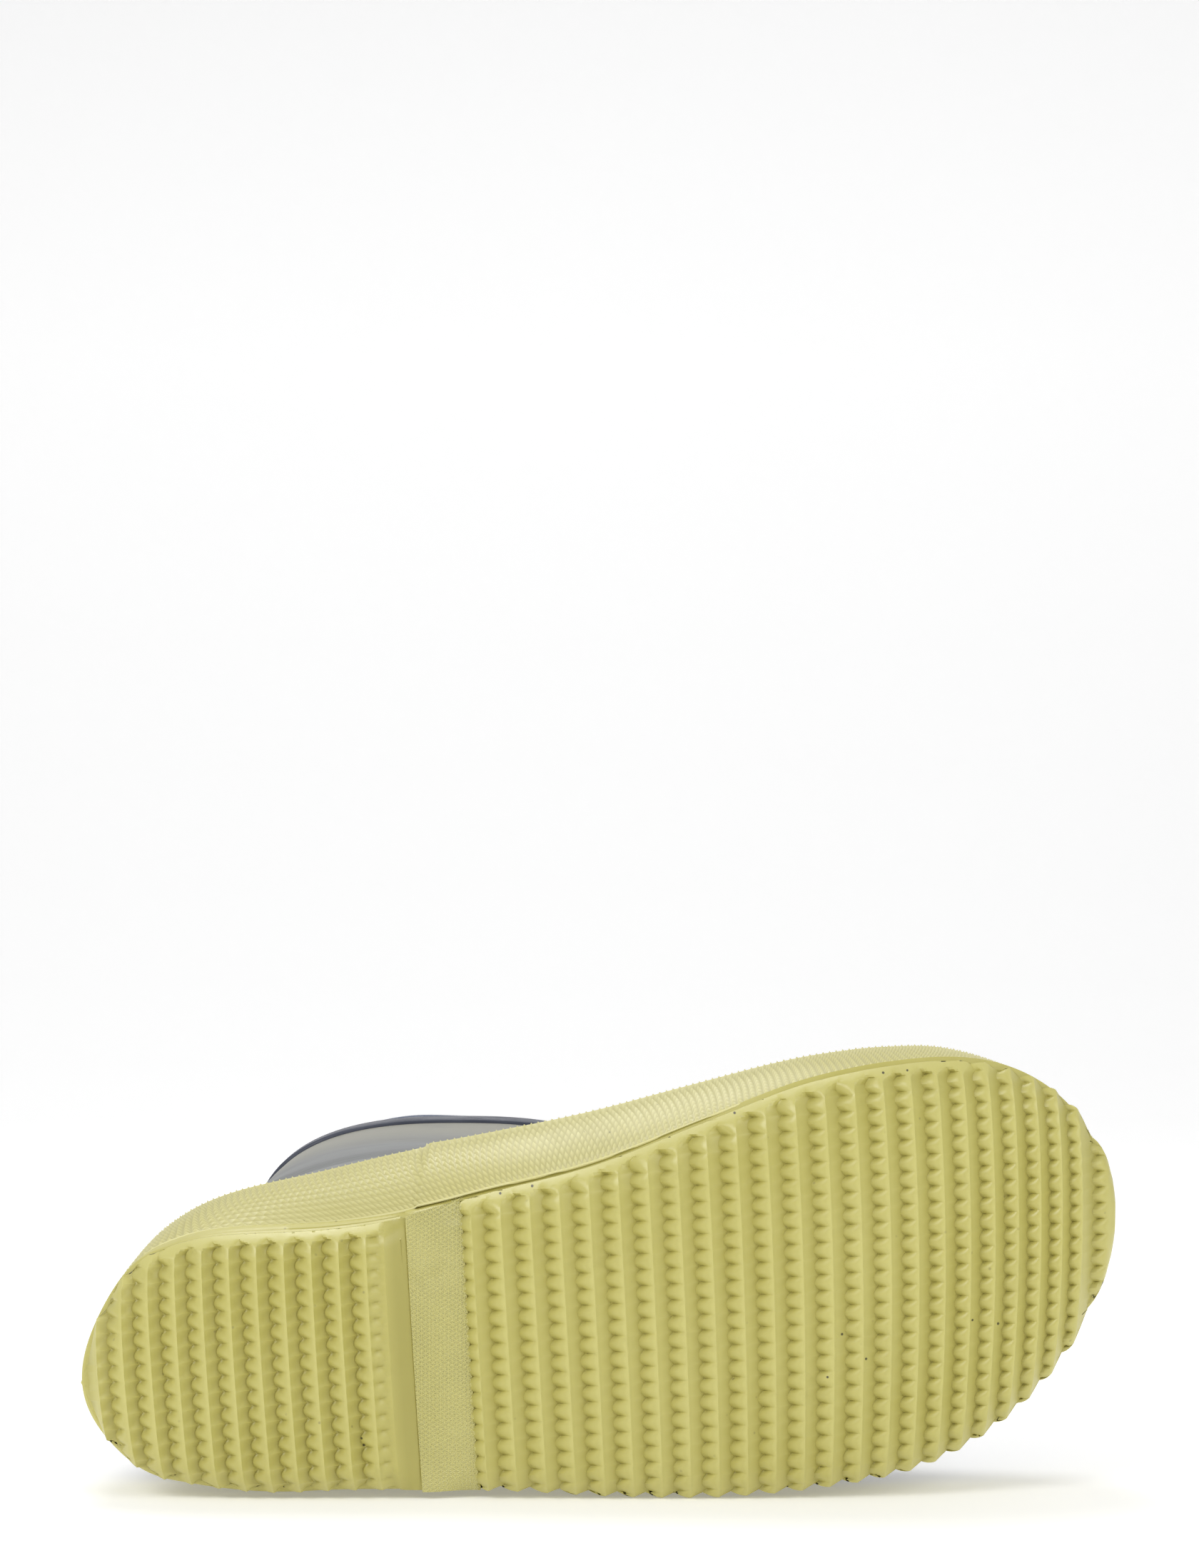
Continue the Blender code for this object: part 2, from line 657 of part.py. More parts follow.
def lay_down(pieces):
    """Lay the standing boot on its outer side, centred over the origin and touching the ground."""
    laid = bpy.data.objects.new("laid_on_its_side", None)
    bpy.context.collection.objects.link(laid)
    laid.rotation_euler = (-math.pi / 2, -REST_LEAN, 0.0)
    for piece in pieces:
        piece.parent = laid
    bpy.context.view_layer.update()
    corners = np.concatenate(
        [[piece.matrix_world @ vertex.co for vertex in piece.data.vertices] for piece in pieces]
    )
    low, high = corners.min(axis=0), corners.max(axis=0)
    laid.location = (-(low[0] + high[0]) / 2, -(low[1] + high[1]) / 2, -low[2])
    bpy.context.view_layer.update()


def main():
    for thing in list(bpy.data.objects):
        bpy.data.objects.remove(thing)
    lime = make_material("lime_rubber", (0.56, 0.52, 0.15), 0.45)
    grey = make_material("grey_green_rubber", (0.30, 0.32, 0.26), 0.55)
    navy = make_material("navy_rubber", (0.04, 0.05, 0.09), 0.5)
    slate = make_material("slate_textile", (0.11, 0.14, 0.22), 0.9)
    felt = make_material("insole_felt", (0.25, 0.27, 0.30), 0.9)
    lay_down(
        [
            make_upper(grey),
            make_foxing(lime),
            make_outsole(lime),
            make_heel(lime),
            make_binding(navy),
            make_cuff(slate),
            make_insole(felt),
        ]
    )


main()
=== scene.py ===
"""How the lined rubber boot looks: rubber sole with its moulded tread, shaft, binding, cuff and lining.

The forms follow the same sizes and functions as the CAD model: x from heel to toe, m towards the inner
side, heights over the ground of the standing boot. laid() turns them into the row frame.
"""

import math

import bmesh
import bpy
import numpy as np
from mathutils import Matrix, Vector


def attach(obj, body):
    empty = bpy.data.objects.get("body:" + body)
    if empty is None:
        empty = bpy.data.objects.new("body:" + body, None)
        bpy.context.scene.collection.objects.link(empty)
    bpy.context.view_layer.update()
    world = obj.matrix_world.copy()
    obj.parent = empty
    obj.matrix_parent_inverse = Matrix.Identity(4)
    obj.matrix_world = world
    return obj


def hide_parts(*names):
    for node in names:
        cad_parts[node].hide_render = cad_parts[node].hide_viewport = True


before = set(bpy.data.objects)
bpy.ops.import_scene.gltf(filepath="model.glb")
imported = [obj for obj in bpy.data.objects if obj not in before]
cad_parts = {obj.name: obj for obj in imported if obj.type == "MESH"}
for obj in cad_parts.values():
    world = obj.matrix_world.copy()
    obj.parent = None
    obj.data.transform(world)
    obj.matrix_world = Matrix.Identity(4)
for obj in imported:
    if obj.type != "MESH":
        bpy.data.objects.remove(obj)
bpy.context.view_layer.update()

# The foot: length of the sole, width over the ball, and heights above the sole
SOLE_LENGTH = 0.1859
BALL_WIDTH = 0.0762
INSTEP_HEIGHT = 0.060
TOE_SPRING = 0.014
HEEL_ROUND = 0.040
TOE_ROUND = 0.046

# The shaft: from the sole's upper face to the collar, and the oval of the collar
SHAFT_HEIGHT = 0.1815
COLLAR_LENGTH = 0.0954
COLLAR_WIDTH = 0.0595
SHAFT_SET_BACK = 0.0620
SHAFT_SQUARENESS = 2.6

# Walls, sheets and the clearance between pieces
WALL = 0.0022
CLEARANCE = 0.0004
FOXING_THICKNESS = 0.0016
FOXING_HEIGHT = 0.0150
FOXING_TOE_RISE = 0.0030
FOXING_HEEL_RISE = 0.0025
INSOLE_THICKNESS = 0.0030

# The sole: heights over the ground, the rounded edge and the ribs
FOREFOOT_THICKNESS = 0.0065
HEEL_STACK = 0.0105
HEEL_THICKNESS = 0.0062
TREAD_DEPTH = 0.0020
WAIST_DEPTH = 0.0036
EDGE_RISE = 0.0032
TREAD_CROWN = 0.0010
INNER_MARGIN = 0.0003
OUTER_MARGIN = 0.0001
HEEL_MARGIN = 0.0003
RIB_NOTCH = 0.0013
FOREFOOT_PITCH = 0.00519
FOREFOOT_RIBS = 23
FLAT_RIBS = 14
PITCH_LOSS = 0.00016
HEEL_PITCH = 0.00482
HEEL_RIBS = 11
FIRST_FOREFOOT_CREST = 0.0707
LAST_HEEL_CREST = 0.0520
BREAST_RUN = 0.0035
LIP_SHARE = 0.65
LEAD_SHARE = 0.42

# The navy binding and the textile cuff at the collar
BINDING_THICKNESS = 0.0010
BINDING_HEIGHT = 0.0080
BINDING_RECESS = 0.0006
CUFF_THICKNESS = 0.0022
CUFF_DEPTH = 0.0220
CUFF_RISE = 0.0085
CUFF_PUFF = 0.0027
PUFF_AT = math.radians(98)
PUFF_SPREAD = math.radians(33)

# How the boot lies: the sole's long axis climbs to the toe, and the shaft is pressed flat by a little
REST_LEAN = math.radians(3.5)
REST_PRESS = 0.0009

# Where the standing boot's origin lies in the row frame once the boot is on its side
LAID_AT = (-0.092428, -0.10025, 0.025573)

# The tread's lobes, the foxing's grain and the rounding of rib ends
LOBE_PITCH = 0.00281
LOBE_START = 0.0004
GROOVE = 0.00055
END_CHAMFER = 0.0008
CHAMFER_RUN = 0.0022
SKIRT = 0.0014
RIB_END = 0.0022
SEAM_MARGIN = 0.0024
LOOP_POINTS = 260
GRAIN_PITCH = 0.0012
GRAIN_ROWS = 11
GRAIN_HEIGHT = 0.00085
SEAM_TUCK = 0.00035
FOXING_SLIM = 0.0009
LAP_AT = 0.0622
HEX_SCALE = 465.0
UPPER_RINGS = 60

# Stretches of the inner seam where the foxing has come away from the sole, as x
CRACKS = ((0.0600, 0.0790), (0.0835, 0.0880), (0.0960, 0.1010), (0.1040, 0.1150))

# Dark pits and specks on the sole and along its seam: x and z as the boot lies, and radius
MARKS = (
    (-0.0180, 0.0537, 0.00028),
    (-0.0124, 0.0550, 0.00030),
    (0.0231, 0.0678, 0.00028),
    (0.0493, 0.0748, 0.00028),
    (0.0536, 0.0752, 0.00024),
    (0.0650, 0.0313, 0.00026),
    (0.0697, 0.0305, 0.00030),
    (0.0418, 0.0292, 0.00028),
    (0.0460, 0.0249, 0.00028),
    (0.0392, 0.0218, 0.00026),
    (-0.0422, 0.0110, 0.00026),
    (-0.0418, 0.0098, 0.00030),
)

# Soft folds of the rubber. Height, tilt and width are shares of the shaft's height, tilt per radian;
# where and spread are degrees around the shaft, 0 at the toe and 90 on the inner side; depth in metres.
CREASES = (
    # height, where, spread, tilt, width, depth
    (0.47, 20, 62, 0.05, 0.030, 0.0011),
    (0.36, -8, 55, -0.06, 0.026, 0.0010),
    (0.42, 150, 48, 0.07, 0.034, 0.0009),
    (0.54, 205, 44, -0.05, 0.030, 0.0008),
    (0.66, 70, 40, 0.08, 0.036, 0.0006),
    (0.30, 178, 34, 0.03, 0.024, 0.0006),
    (0.74, 300, 46, -0.07, 0.034, 0.0006),
)

# Rings of the edge bands, from the tread up: how far each is pulled in all round and, further, on the
# inner side; up is its share of the way to the foxing; drop is taken off towards the tread, in metres.
OUTSOLE_BAND = (
    # inset, margin, up, drop
    (0.0038, 0.0002, 0.00, 0.00050),
    (0.0020, -0.0008, 0.12, 0.00030),
    (0.0016, -0.0013, 0.40, -0.00010),
    (0.0013, -0.0014, 0.72, -0.00016),
    (0.0011, -0.0015, 0.93, -0.00005),
    (0.0011, -0.0013, 1.00, 0.00000),
)
HEEL_BAND = (
    # inset, margin, up, drop
    (0.0033, 0.0010, 0.00, 0.00040),
    (0.0012, 0.0006, 0.04, 0.00025),
    (0.0009, 0.0000, 0.22, -0.00012),
    (0.0005, 0.0000, 0.55, -0.00020),
    (0.0004, 0.0000, 0.90, -0.00005),
    (0.0006, 0.0000, 1.00, 0.00000),
)

# Rings over the insole's rim: how far in from the lining, and height
INSOLE_RIM = (
    # inset, height
    (0.0009, 0.0),
    (0.0001, 0.0005),
    (0.0, 0.0016),
    (0.0003, 0.0026),
    (0.0010, INSOLE_THICKNESS),
    (0.0028, INSOLE_THICKNESS - 0.00012),
    (0.0060, INSOLE_THICKNESS - 0.0002),
)

# Colours of the lime rubber, linear: as moulded, darker where dirt and painted shade gather in the low
# places, and where it is worn pale
SOLE_LIME = ((0.51, 0.465, 0.130), (0.39, 0.35, 0.09), (0.60, 0.56, 0.20))
WAIST_LIME = ((0.80, 0.755, 0.31), (0.39, 0.35, 0.09), (0.85, 0.81, 0.40))
FOXING_LIME = ((0.70, 0.65, 0.27), (0.45, 0.41, 0.14), (0.76, 0.72, 0.37))
SPECK = (0.16, 0.13, 0.06)
PIT = (0.035, 0.030, 0.020)

# The other colours: dark and light of each
NAVY = ((0.030, 0.036, 0.060), (0.065, 0.075, 0.105))
CUFF_KNIT = ((0.085, 0.11, 0.17), (0.19, 0.225, 0.30))
LINING_KNIT = ((0.10, 0.12, 0.16), (0.22, 0.25, 0.30))
INSOLE_FELT = ((0.17, 0.18, 0.20), (0.30, 0.32, 0.34))
# Painted shade over the shaft's ankle, lower down the shaft
ANKLE_PAINTED_SHADE = (0.125, 0.133, 0.135)

# The photograph's frame in pixels, and the camera worked out from it
FRAME_HEIGHT = 2197
CAMERA_FOCUS = 4824
CAMERA_HORIZON = 1358
CAMERA_X = -0.0006
CAMERA_DISTANCE = 0.600
CAMERA_HEIGHT = 0.093
SOLE_PLANE = -0.10025
KEY_POWER = 8.0
TOP_POWER = 5.2
FILL_POWER = 4.5
WORLD_STRENGTH = 0.46
FLOOR_GLOW = 0.22


# Outline of the foot in plan. Centre, half width and the inner side's overhang over the sole are
# shares of the ball width, and the half width leaves out the rounding of the heel and the toe.
OUTLINE_COLUMNS = ("share", "centre", "half_width", "overhang")
OUTLINE = (
    (0.00, -0.070, 0.320, 0.000),
    (0.05, -0.042, 0.369, 0.014),
    (0.10, -0.018, 0.362, 0.051),
    (0.20, 0.000, 0.358, 0.099),
    (0.30, 0.018, 0.384, 0.133),
    (0.40, 0.030, 0.411, 0.124),
    (0.50, 0.035, 0.443, 0.113),
    (0.60, 0.051, 0.475, 0.083),
    (0.70, 0.077, 0.494, 0.051),
    (0.80, 0.101, 0.492, 0.032),
    (0.90, 0.143, 0.494, 0.015),
    (1.00, 0.190, 0.490, 0.000),
)

# Top line of the foot over the sole's upper face, as shares of the instep height. Behind the instep
# the line runs on inside the shaft.
TOP_COLUMNS = ("share", "top")
TOP_LINE = (
    (0.00, 1.15),
    (0.10, 1.35),
    (0.20, 1.58),
    (0.30, 1.72),
    (0.40, 1.64),
    (0.50, 1.36),
    (0.60, 1.00),
    (0.70, 0.81),
    (0.80, 0.71),
    (0.90, 0.66),
    (1.00, 0.62),
)

# The shaft's ovals by height: where the centre lies, as a share of the collar's set-back, and the
# length and width as shares of the collar's
LEG_COLUMNS = ("share", "centre", "length", "width")
LEG = (
    (0.00, 0.870, 0.70, 0.40),
    (0.08, 0.875, 0.80, 0.62),
    (0.20, 0.885, 0.91, 0.82),
    (0.35, 0.930, 0.965, 0.875),
    (0.50, 0.937, 0.950, 0.885),
    (0.65, 0.942, 0.935, 0.897),
    (0.80, 0.963, 0.955, 0.925),
    (0.92, 0.990, 0.990, 0.970),
    (1.00, 1.000, 1.000, 1.000),
)

# The shells' rings fan open over the vamp: height of each ring's plane at the heel and at the toe, as
# shares of the height from the sole to the binding
FAN_COLUMNS = ("step", "at_heel", "at_toe")
FAN = (
    (0.00, 0.000, 0.000),
    (0.14, 0.088, 0.088),
    (0.24, 0.125, 0.190),
    (0.34, 0.155, 0.330),
    (0.44, 0.195, 0.520),
    (0.54, 0.280, 0.700),
    (0.64, 0.410, 0.800),
    (0.76, 0.600, 0.870),
    (0.88, 0.810, 0.945),
    (1.00, 1.000, 1.000),
)

BINDING_FOOT = SHAFT_HEIGHT - BINDING_HEIGHT
WIDEST_HEIGHT = FOXING_HEIGHT * 0.93
OVERHANG_HEIGHT = FOXING_HEIGHT * 1.2
FOXING_STAND = FOXING_THICKNESS + CLEARANCE
BLEND = 0.20


def column(columns, rows, name):
    """One named column of a table, as an array."""
    return np.array([row[columns.index(name)] for row in rows], float)


def follow(columns, rows, name, at):
    """The smooth curve through one column of a table, read at the given places of its first column."""
    knots = column(columns, rows, columns[0])
    values = column(columns, rows, name)
    at = np.clip(np.asarray(at, float), knots[0], knots[-1])
    slopes = np.gradient(values, knots)
    left = np.clip(np.searchsorted(knots, at, side="right") - 1, 0, len(knots) - 2)
    run = knots[left + 1] - knots[left]
    s = (at - knots[left]) / run
    return (
        values[left] * (1 + 2 * s) * (1 - s) ** 2
        + slopes[left] * run * s * (1 - s) ** 2
        + values[left + 1] * s**2 * (3 - 2 * s)
        + slopes[left + 1] * run * s**2 * (s - 1)
    )


def ease(start, end, at):
    """A smooth step from 0 at start to 1 at end."""
    s = np.clip((np.asarray(at, float) - start) / (end - start), 0.0, 1.0)
    return s * s * (3 - 2 * s)


def centre_line(x):
    return follow(OUTLINE_COLUMNS, OUTLINE, "centre", x / SOLE_LENGTH) * BALL_WIDTH


def full_half_width(x):
    """Half the foot's width in plan, before the heel and the toe are rounded."""
    return follow(OUTLINE_COLUMNS, OUTLINE, "half_width", x / SOLE_LENGTH) * BALL_WIDTH


def overhang(x):
    """How far the foot stands out over the sole on the inner side."""
    return follow(OUTLINE_COLUMNS, OUTLINE, "overhang", x / SOLE_LENGTH) * BALL_WIDTH


def end_share(x, inset=0.0):
    """How far x is into the rounded heel or toe: 0 along the middle, 1 at the tip."""
    heel = (HEEL_ROUND - x) / (HEEL_ROUND - inset)
    toe = (x - SOLE_LENGTH + TOE_ROUND) / (TOE_ROUND - inset)
    return np.clip(np.maximum(heel, toe), 0.0, None)


def sole_edges(x, inset=0.0, inner_margin=0.0):
    """The sole's outer and inner edge at x, the outer one first, pulled in by inset and margin."""
    rounding = np.sqrt(np.clip(1 - end_share(x, inset) ** 2, 0.0, 1.0))
    half = (full_half_width(x) - inset) * rounding
    setting = (overhang(x) + inner_margin) * rounding
    return centre_line(x) - half, centre_line(x) + half - setting


def toe_spring(x):
    return TOE_SPRING * np.clip((x / SOLE_LENGTH - 0.66) / 0.34, 0.0, None) ** 1.8


def sole_top(x):
    """Height of the sole's upper face over the ground."""
    shank = ease(0.20 * SOLE_LENGTH, 0.44 * SOLE_LENGTH, x)
    return HEEL_STACK + (FOREFOOT_THICKNESS - HEEL_STACK) * shank + toe_spring(x)


def ground_height(x, h):
    """Height over the ground of a point at height h over the sole: the shaft ignores the toe spring."""
    fade = 1 - ease(0.18 * SHAFT_HEIGHT, 0.55 * SHAFT_HEIGHT, h)
    return h + HEEL_STACK + (sole_top(x) - HEEL_STACK) * fade


def rest_line(x):
    """Where the ground touches the lying boot's outer side, as m at x."""
    return REST_TOUCH - math.tan(REST_LEAN) * x


REST_STATIONS = np.linspace(0.0, SOLE_LENGTH, 200)
REST_TOUCH = np.min(sole_edges(REST_STATIONS)[0] + math.tan(REST_LEAN) * REST_STATIONS)


def leg_axis(h):
    """The shaft's centre across the boot: over the foot's centre below, resting on the ground above."""
    collar = rest_line(SHAFT_SET_BACK) + COLLAR_WIDTH / 2 - REST_PRESS
    return centre_line(SHAFT_SET_BACK) + (collar - centre_line(SHAFT_SET_BACK)) * ease(
        0.3 * SHAFT_HEIGHT, SHAFT_HEIGHT, h
    )


def foot_inside(x, m, h):
    """Above zero inside the foot, zero on the upper's skin."""
    grown = 1 - (1 - np.clip(h / OVERHANG_HEIGHT, 0.0, 1.0)) ** 2
    across = m - centre_line(x)
    half = full_half_width(x) - FOXING_STAND
    half = np.where(across > 0, half - overhang(x) * (1 - grown), half)
    top = follow(TOP_COLUMNS, TOP_LINE, "top", x / SOLE_LENGTH) * INSTEP_HEIGHT
    rise = np.clip((h - WIDEST_HEIGHT) / (top - WIDEST_HEIGHT), 0.0, None)
    return 1 - (across / half) ** 2 - end_share(x, FOXING_STAND) ** 2 - rise**2.3


def leg_inside(x, m, h):
    """Above zero inside the shaft, zero on its skin."""
    share = h / SHAFT_HEIGHT
    centre = follow(LEG_COLUMNS, LEG, "centre", share) * SHAFT_SET_BACK
    length = follow(LEG_COLUMNS, LEG, "length", share) * COLLAR_LENGTH / 2
    width = follow(LEG_COLUMNS, LEG, "width", share) * COLLAR_WIDTH / 2
    square = 2 + (SHAFT_SQUARENESS - 2) * ease(0.2, 0.9, share)
    level_way = math.tan(REST_LEAN) * ease(0.2, 0.9, share)
    across = m - leg_axis(h) + level_way * (x - centre)
    return 1 - np.abs((x - centre) / length) ** square - np.abs(across / width) ** square


def inside(x, m, h):
    """Foot and shaft flowing into each other."""
    foot = foot_inside(x, m, h)
    leg = leg_inside(x, m, h)
    return (foot + leg + np.sqrt((foot - leg) ** 2 + BLEND**2)) / 2


def skin_ring(at_heel, at_toe, turn):
    """One ring of the upper's skin: the points and outward normals where a tilted plane cuts it.

    at_heel and at_toe are the plane's heights over the sole at the two ends, one value or one for each
    point of the ring.
    """
    mean_height = float(np.mean(at_heel))
    origin_x = SOLE_LENGTH / 2 + (SHAFT_SET_BACK - SOLE_LENGTH / 2) * ease(
        0.1 * SHAFT_HEIGHT, 0.5 * SHAFT_HEIGHT, mean_height
    )
    origin_m = float(leg_axis(mean_height))
    slope = (at_toe - at_heel) / SOLE_LENGTH
    reach = 1 - ease(0.1 * SHAFT_HEIGHT, 0.6 * SHAFT_HEIGHT, mean_height)
    long_way = COLLAR_LENGTH / 2 + (SOLE_LENGTH - COLLAR_LENGTH) / 2 * reach
    wide_way = COLLAR_WIDTH / 2 + (BALL_WIDTH - COLLAR_WIDTH) / 2 * reach
    way = np.stack([np.cos(turn) * long_way, np.sin(turn) * wide_way])
    way /= np.hypot(way[0], way[1])

    def place(distance):
        x = origin_x + way[0] * distance
        return x, origin_m + way[1] * distance, at_heel + slope * x

    step = 0.004
    near = np.zeros(len(turn))
    running = np.ones(len(turn), bool)
    while running.any():
        running &= inside(*place(near + step)) > 0
        near = near + step * running
    far = near + step
    for _ in range(22):
        middle = (near + far) / 2
        in_there = inside(*place(middle)) > 0
        near = np.where(in_there, middle, near)
        far = np.where(in_there, far, middle)
    x, m, h = place(near)
    nudge = 0.0002
    normal = -np.stack(
        [
            inside(x + nudge, m, h) - inside(x - nudge, m, h),
            inside(x, m + nudge, h) - inside(x, m - nudge, h),
            inside(x, m, h + nudge) - inside(x, m, h - nudge),
        ],
        axis=1,
    )
    normal /= np.linalg.norm(normal, axis=1)[:, None]
    return np.stack([x, m, h], axis=1), normal


def level(normal):
    """The normals turned into the ring's own level, for rings that end a piece."""
    flat = normal * np.array([1.0, 1.0, 0.0])
    return flat / np.linalg.norm(flat, axis=1)[:, None]


def off_ground(points, allowance=0.0):
    """Points pressed in where they would reach past the ground that the lying boot rests on."""
    pressed = points.copy()
    pressed[:, 1] = np.maximum(points[:, 1], rest_line(points[:, 0]) + allowance)
    return pressed


def under_foxing(h):
    """How far the upper keeps off the ground at height h, to leave room for the foxing."""
    top = FOXING_HEIGHT + max(FOXING_TOE_RISE, FOXING_HEEL_RISE)
    return FOXING_STAND * (1 - ease(top, top + 0.004, h))


def standing(points):
    """From x, m and the height over the sole to x, y and z of the standing boot."""
    points = np.asarray(points, float)
    x, m, h = points[..., 0], points[..., 1], points[..., 2]
    return np.stack([x, -m, ground_height(x, h)], axis=-1)


def crest_line(u, m):
    """x of a line across the sole: straight at the waist, bowed and turned towards the heel and toe."""
    forward = np.clip((u - 0.40 * SOLE_LENGTH) / (0.54 * SOLE_LENGTH), 0.0, None)
    backward = np.clip((0.40 * SOLE_LENGTH - u) / (0.40 * SOLE_LENGTH), 0.0, None)
    turned = 0.112 * forward**1.6
    bowed = (-0.125 * forward**1.5 + 0.075 * backward + 0.15 * backward**8) / BALL_WIDTH
    return u + turned * m + bowed * m * m


def tip_station(inset):
    """Station of the line that just touches the toe's tip, with the edge pulled in by inset."""
    tip = centre_line(SOLE_LENGTH)
    return SOLE_LENGTH - inset - (crest_line(SOLE_LENGTH, tip) - SOLE_LENGTH)


def edge_rise(x, m):
    """How far the tread is rounded up at a point, by how near the sole's edge it is."""
    outer, inner = sole_edges(x)
    middle = (outer + inner) / 2
    rounding = np.sqrt(np.clip(1 - end_share(x) ** 2, 0.02, 1.0))
    half = np.maximum((inner - outer) / 2, 0.001) / rounding
    spread = np.sqrt(np.clip(((m - middle) / half) ** 2 + end_share(x) ** 2, 0.0, 1.0))
    return EDGE_RISE * np.clip((spread - 0.78) / 0.22, 0.0, 1.0) ** 2 + TREAD_CROWN * spread**2


def shell(name, points, faces, material, angle=40.0, attributes=None):
    """A mesh piece that rides on the boot. Points are in the row frame."""
    mesh = bpy.data.meshes.new(name)
    mesh.from_pydata([tuple(p) for p in points], [], [tuple(f) for f in faces])
    for label, values in (attributes or {}).items():
        layer = mesh.attributes.new(label, "FLOAT", "POINT")
        layer.data.foreach_set("value", np.asarray(values, np.float32))
    work = bmesh.new()
    work.from_mesh(mesh)
    bmesh.ops.remove_doubles(work, verts=work.verts, dist=2e-6)
    bmesh.ops.dissolve_degenerate(work, edges=work.edges, dist=1e-6)
    work.to_mesh(mesh)
    work.free()
    mesh.shade_smooth()
    mesh.set_sharp_from_angle(angle=math.radians(angle))
    mesh.materials.append(material)
    piece = bpy.data.objects.new(name, mesh)
    bpy.context.collection.objects.link(piece)
    return piece


def laid(points):
    """From the standing boot's x, y and z to the row frame of the boot on its side."""
    points = np.asarray(points, float)
    x, y, z = points[..., 0], points[..., 1], points[..., 2]
    c, s = math.cos(REST_LEAN), math.sin(REST_LEAN)
    return np.stack([x * c + y * s, z, x * s - y * c], axis=-1) + np.array(LAID_AT)


def grid_faces(rows, columns, start=0, flip=False):
    """Quads of a grid of points."""
    a = (np.arange(rows - 1)[:, None] * columns + np.arange(columns - 1)[None, :]).ravel() + start
    quads = np.stack([a, a + 1, a + columns + 1, a + columns], axis=1)
    return quads[:, ::-1] if flip else quads


def loop_faces(rows, columns, start=0, flip=False, join=False):
    """Quads between closed loops of points, the last joined to the first where join is set."""
    faces = []
    for i in range(rows if join else rows - 1):
        here = np.arange(columns) + start + i * columns
        there = np.arange(columns) + start + (i + 1) % rows * columns
        faces.append(np.stack([here, np.roll(here, -1), np.roll(there, -1), there], axis=1))
    faces = np.concatenate(faces)
    return faces[:, ::-1] if flip else faces


def band_solid(name, rings, material, angle=40.0, attributes=None):
    """A closed band through rings of points in the standing frame."""
    points = laid(np.concatenate(rings))
    faces = loop_faces(len(rings), len(rings[0]), join=True)
    return shell(name, points, faces, material, angle, attributes)


def lobe_columns(within):
    """Places across the sole, and where each lies within its lobe, from -0.5 to 0.5."""
    first = math.floor((-0.036 - LOBE_START) / LOBE_PITCH)
    last = math.ceil((0.049 - LOBE_START) / LOBE_PITCH)
    numbers = np.arange(first, last + 1)
    m = (LOBE_START + (numbers[:, None] + 0.5 + within[None, :]) * LOBE_PITCH).ravel()
    q = np.tile(within, len(numbers))
    return m, q


def rib_rows(crests, end, q, m, barbs):
    """Stations and depths of every row of the ribs: smooth toe-side flanks, lobed heel-side flanks."""
    side = np.abs(2 * q)
    foot = 0.38 + 0.19 * side**2
    deepest = 0.80 + 0.20 * side**2
    stations, depths = [], []
    for here, there in zip(crests, crests[1:] + [end]):
        pitch = there - here
        for r in (0.0, 0.07, 0.36, 0.70, 0.93):
            stations.append(here + pitch * foot * r)
            dimple = 0.0005 * barbs * math.sin(math.pi * min(1.0, r * 0.75)) * (1 - side**3)
            depths.append(TREAD_DEPTH * deepest * r**0.92 + dimple)
        for t in (0.0, 0.08, 0.22, 0.42, 0.66, 0.86):
            stations.append(here + pitch * (foot + (1 - foot) * t))
            pillow = 1 - (1 - t) ** 1.75
            slanted = np.abs(2 * ((q + 0.62 * t * barbs + 0.5) % 1.0 - 0.5))
            groove = GROOVE * (1 + 0.3 * barbs) * slanted**2.0 * (1 - t) ** 1.1 * min(1.0, t / 0.15)
            depths.append(TREAD_DEPTH * deepest * (1 - pillow) + groove)
    return stations, depths


def sole_across(u, inset, margin):
    """The sole's edges along the curved line through u, with arrays of any shape."""
    outer = np.zeros_like(u)
    inner = np.zeros_like(u)
    for _ in range(12):
        outer = (outer + sole_edges(crest_line(u, outer), inset, margin)[0]) / 2
        inner = (inner + sole_edges(crest_line(u, inner), inset, margin)[1]) / 2
    return outer, inner


def relief(stations, depths, m, rounding, ribbed, inset, lift):
    """Points of a tread relief clipped at the sole's edge, with a skirt tucked in all round."""
    u = np.array([np.broadcast_to(s, m.shape) for s in stations], float)
    depth = np.array([np.broadcast_to(d, m.shape) for d in depths], float)
    ribbed = np.array(ribbed)[:, None]
    seamed = seam_shown(u)
    notch = RIB_NOTCH * np.clip(depth / TREAD_DEPTH, 0.0, 1.0) * ribbed
    outer, _ = sole_across(u, inset + notch, INNER_MARGIN)
    _, inner = sole_across(u, inset + notch * (1 - seamed), INNER_MARGIN)
    across = np.minimum(np.maximum(m[None, :], outer), np.maximum(inner, outer))
    x = crest_line(u, across)
    near = np.minimum(across - outer, inner - across)
    closed = TREAD_DEPTH * (1 - ease(0.2, 1.0, (inner - across) / SEAM_MARGIN)) * ribbed * seamed
    depth = np.maximum(depth - closed, np.minimum(depth, 0.0))
    high = np.clip(1 - depth / TREAD_DEPTH, 0.0, 1.0)
    chamfer = END_CHAMFER * (1 - np.clip(near / CHAMFER_RUN, 0.0, 1.0)) ** 1.4 * high
    z = depth + chamfer + edge_rise(x, across) * np.array(rounding)[:, None] + lift(x)
    points = np.stack([x, -across, z], axis=-1)
    # how deep each point lies, which the material darkens with dirt and painted shade
    shade = np.clip(depth / TREAD_DEPTH, 0.0, 1.0)
    points = np.pad(points, ((1, 1), (1, 1), (0, 0)), mode="edge")
    shade = np.pad(shade, 1, mode="edge")
    points[0, :, 2] += SKIRT
    points[-1, :, 2] += SKIRT
    points[1:-1, 0, 2] += RIB_END
    points[1:-1, -1, 2] += SKIRT
    return points, shade


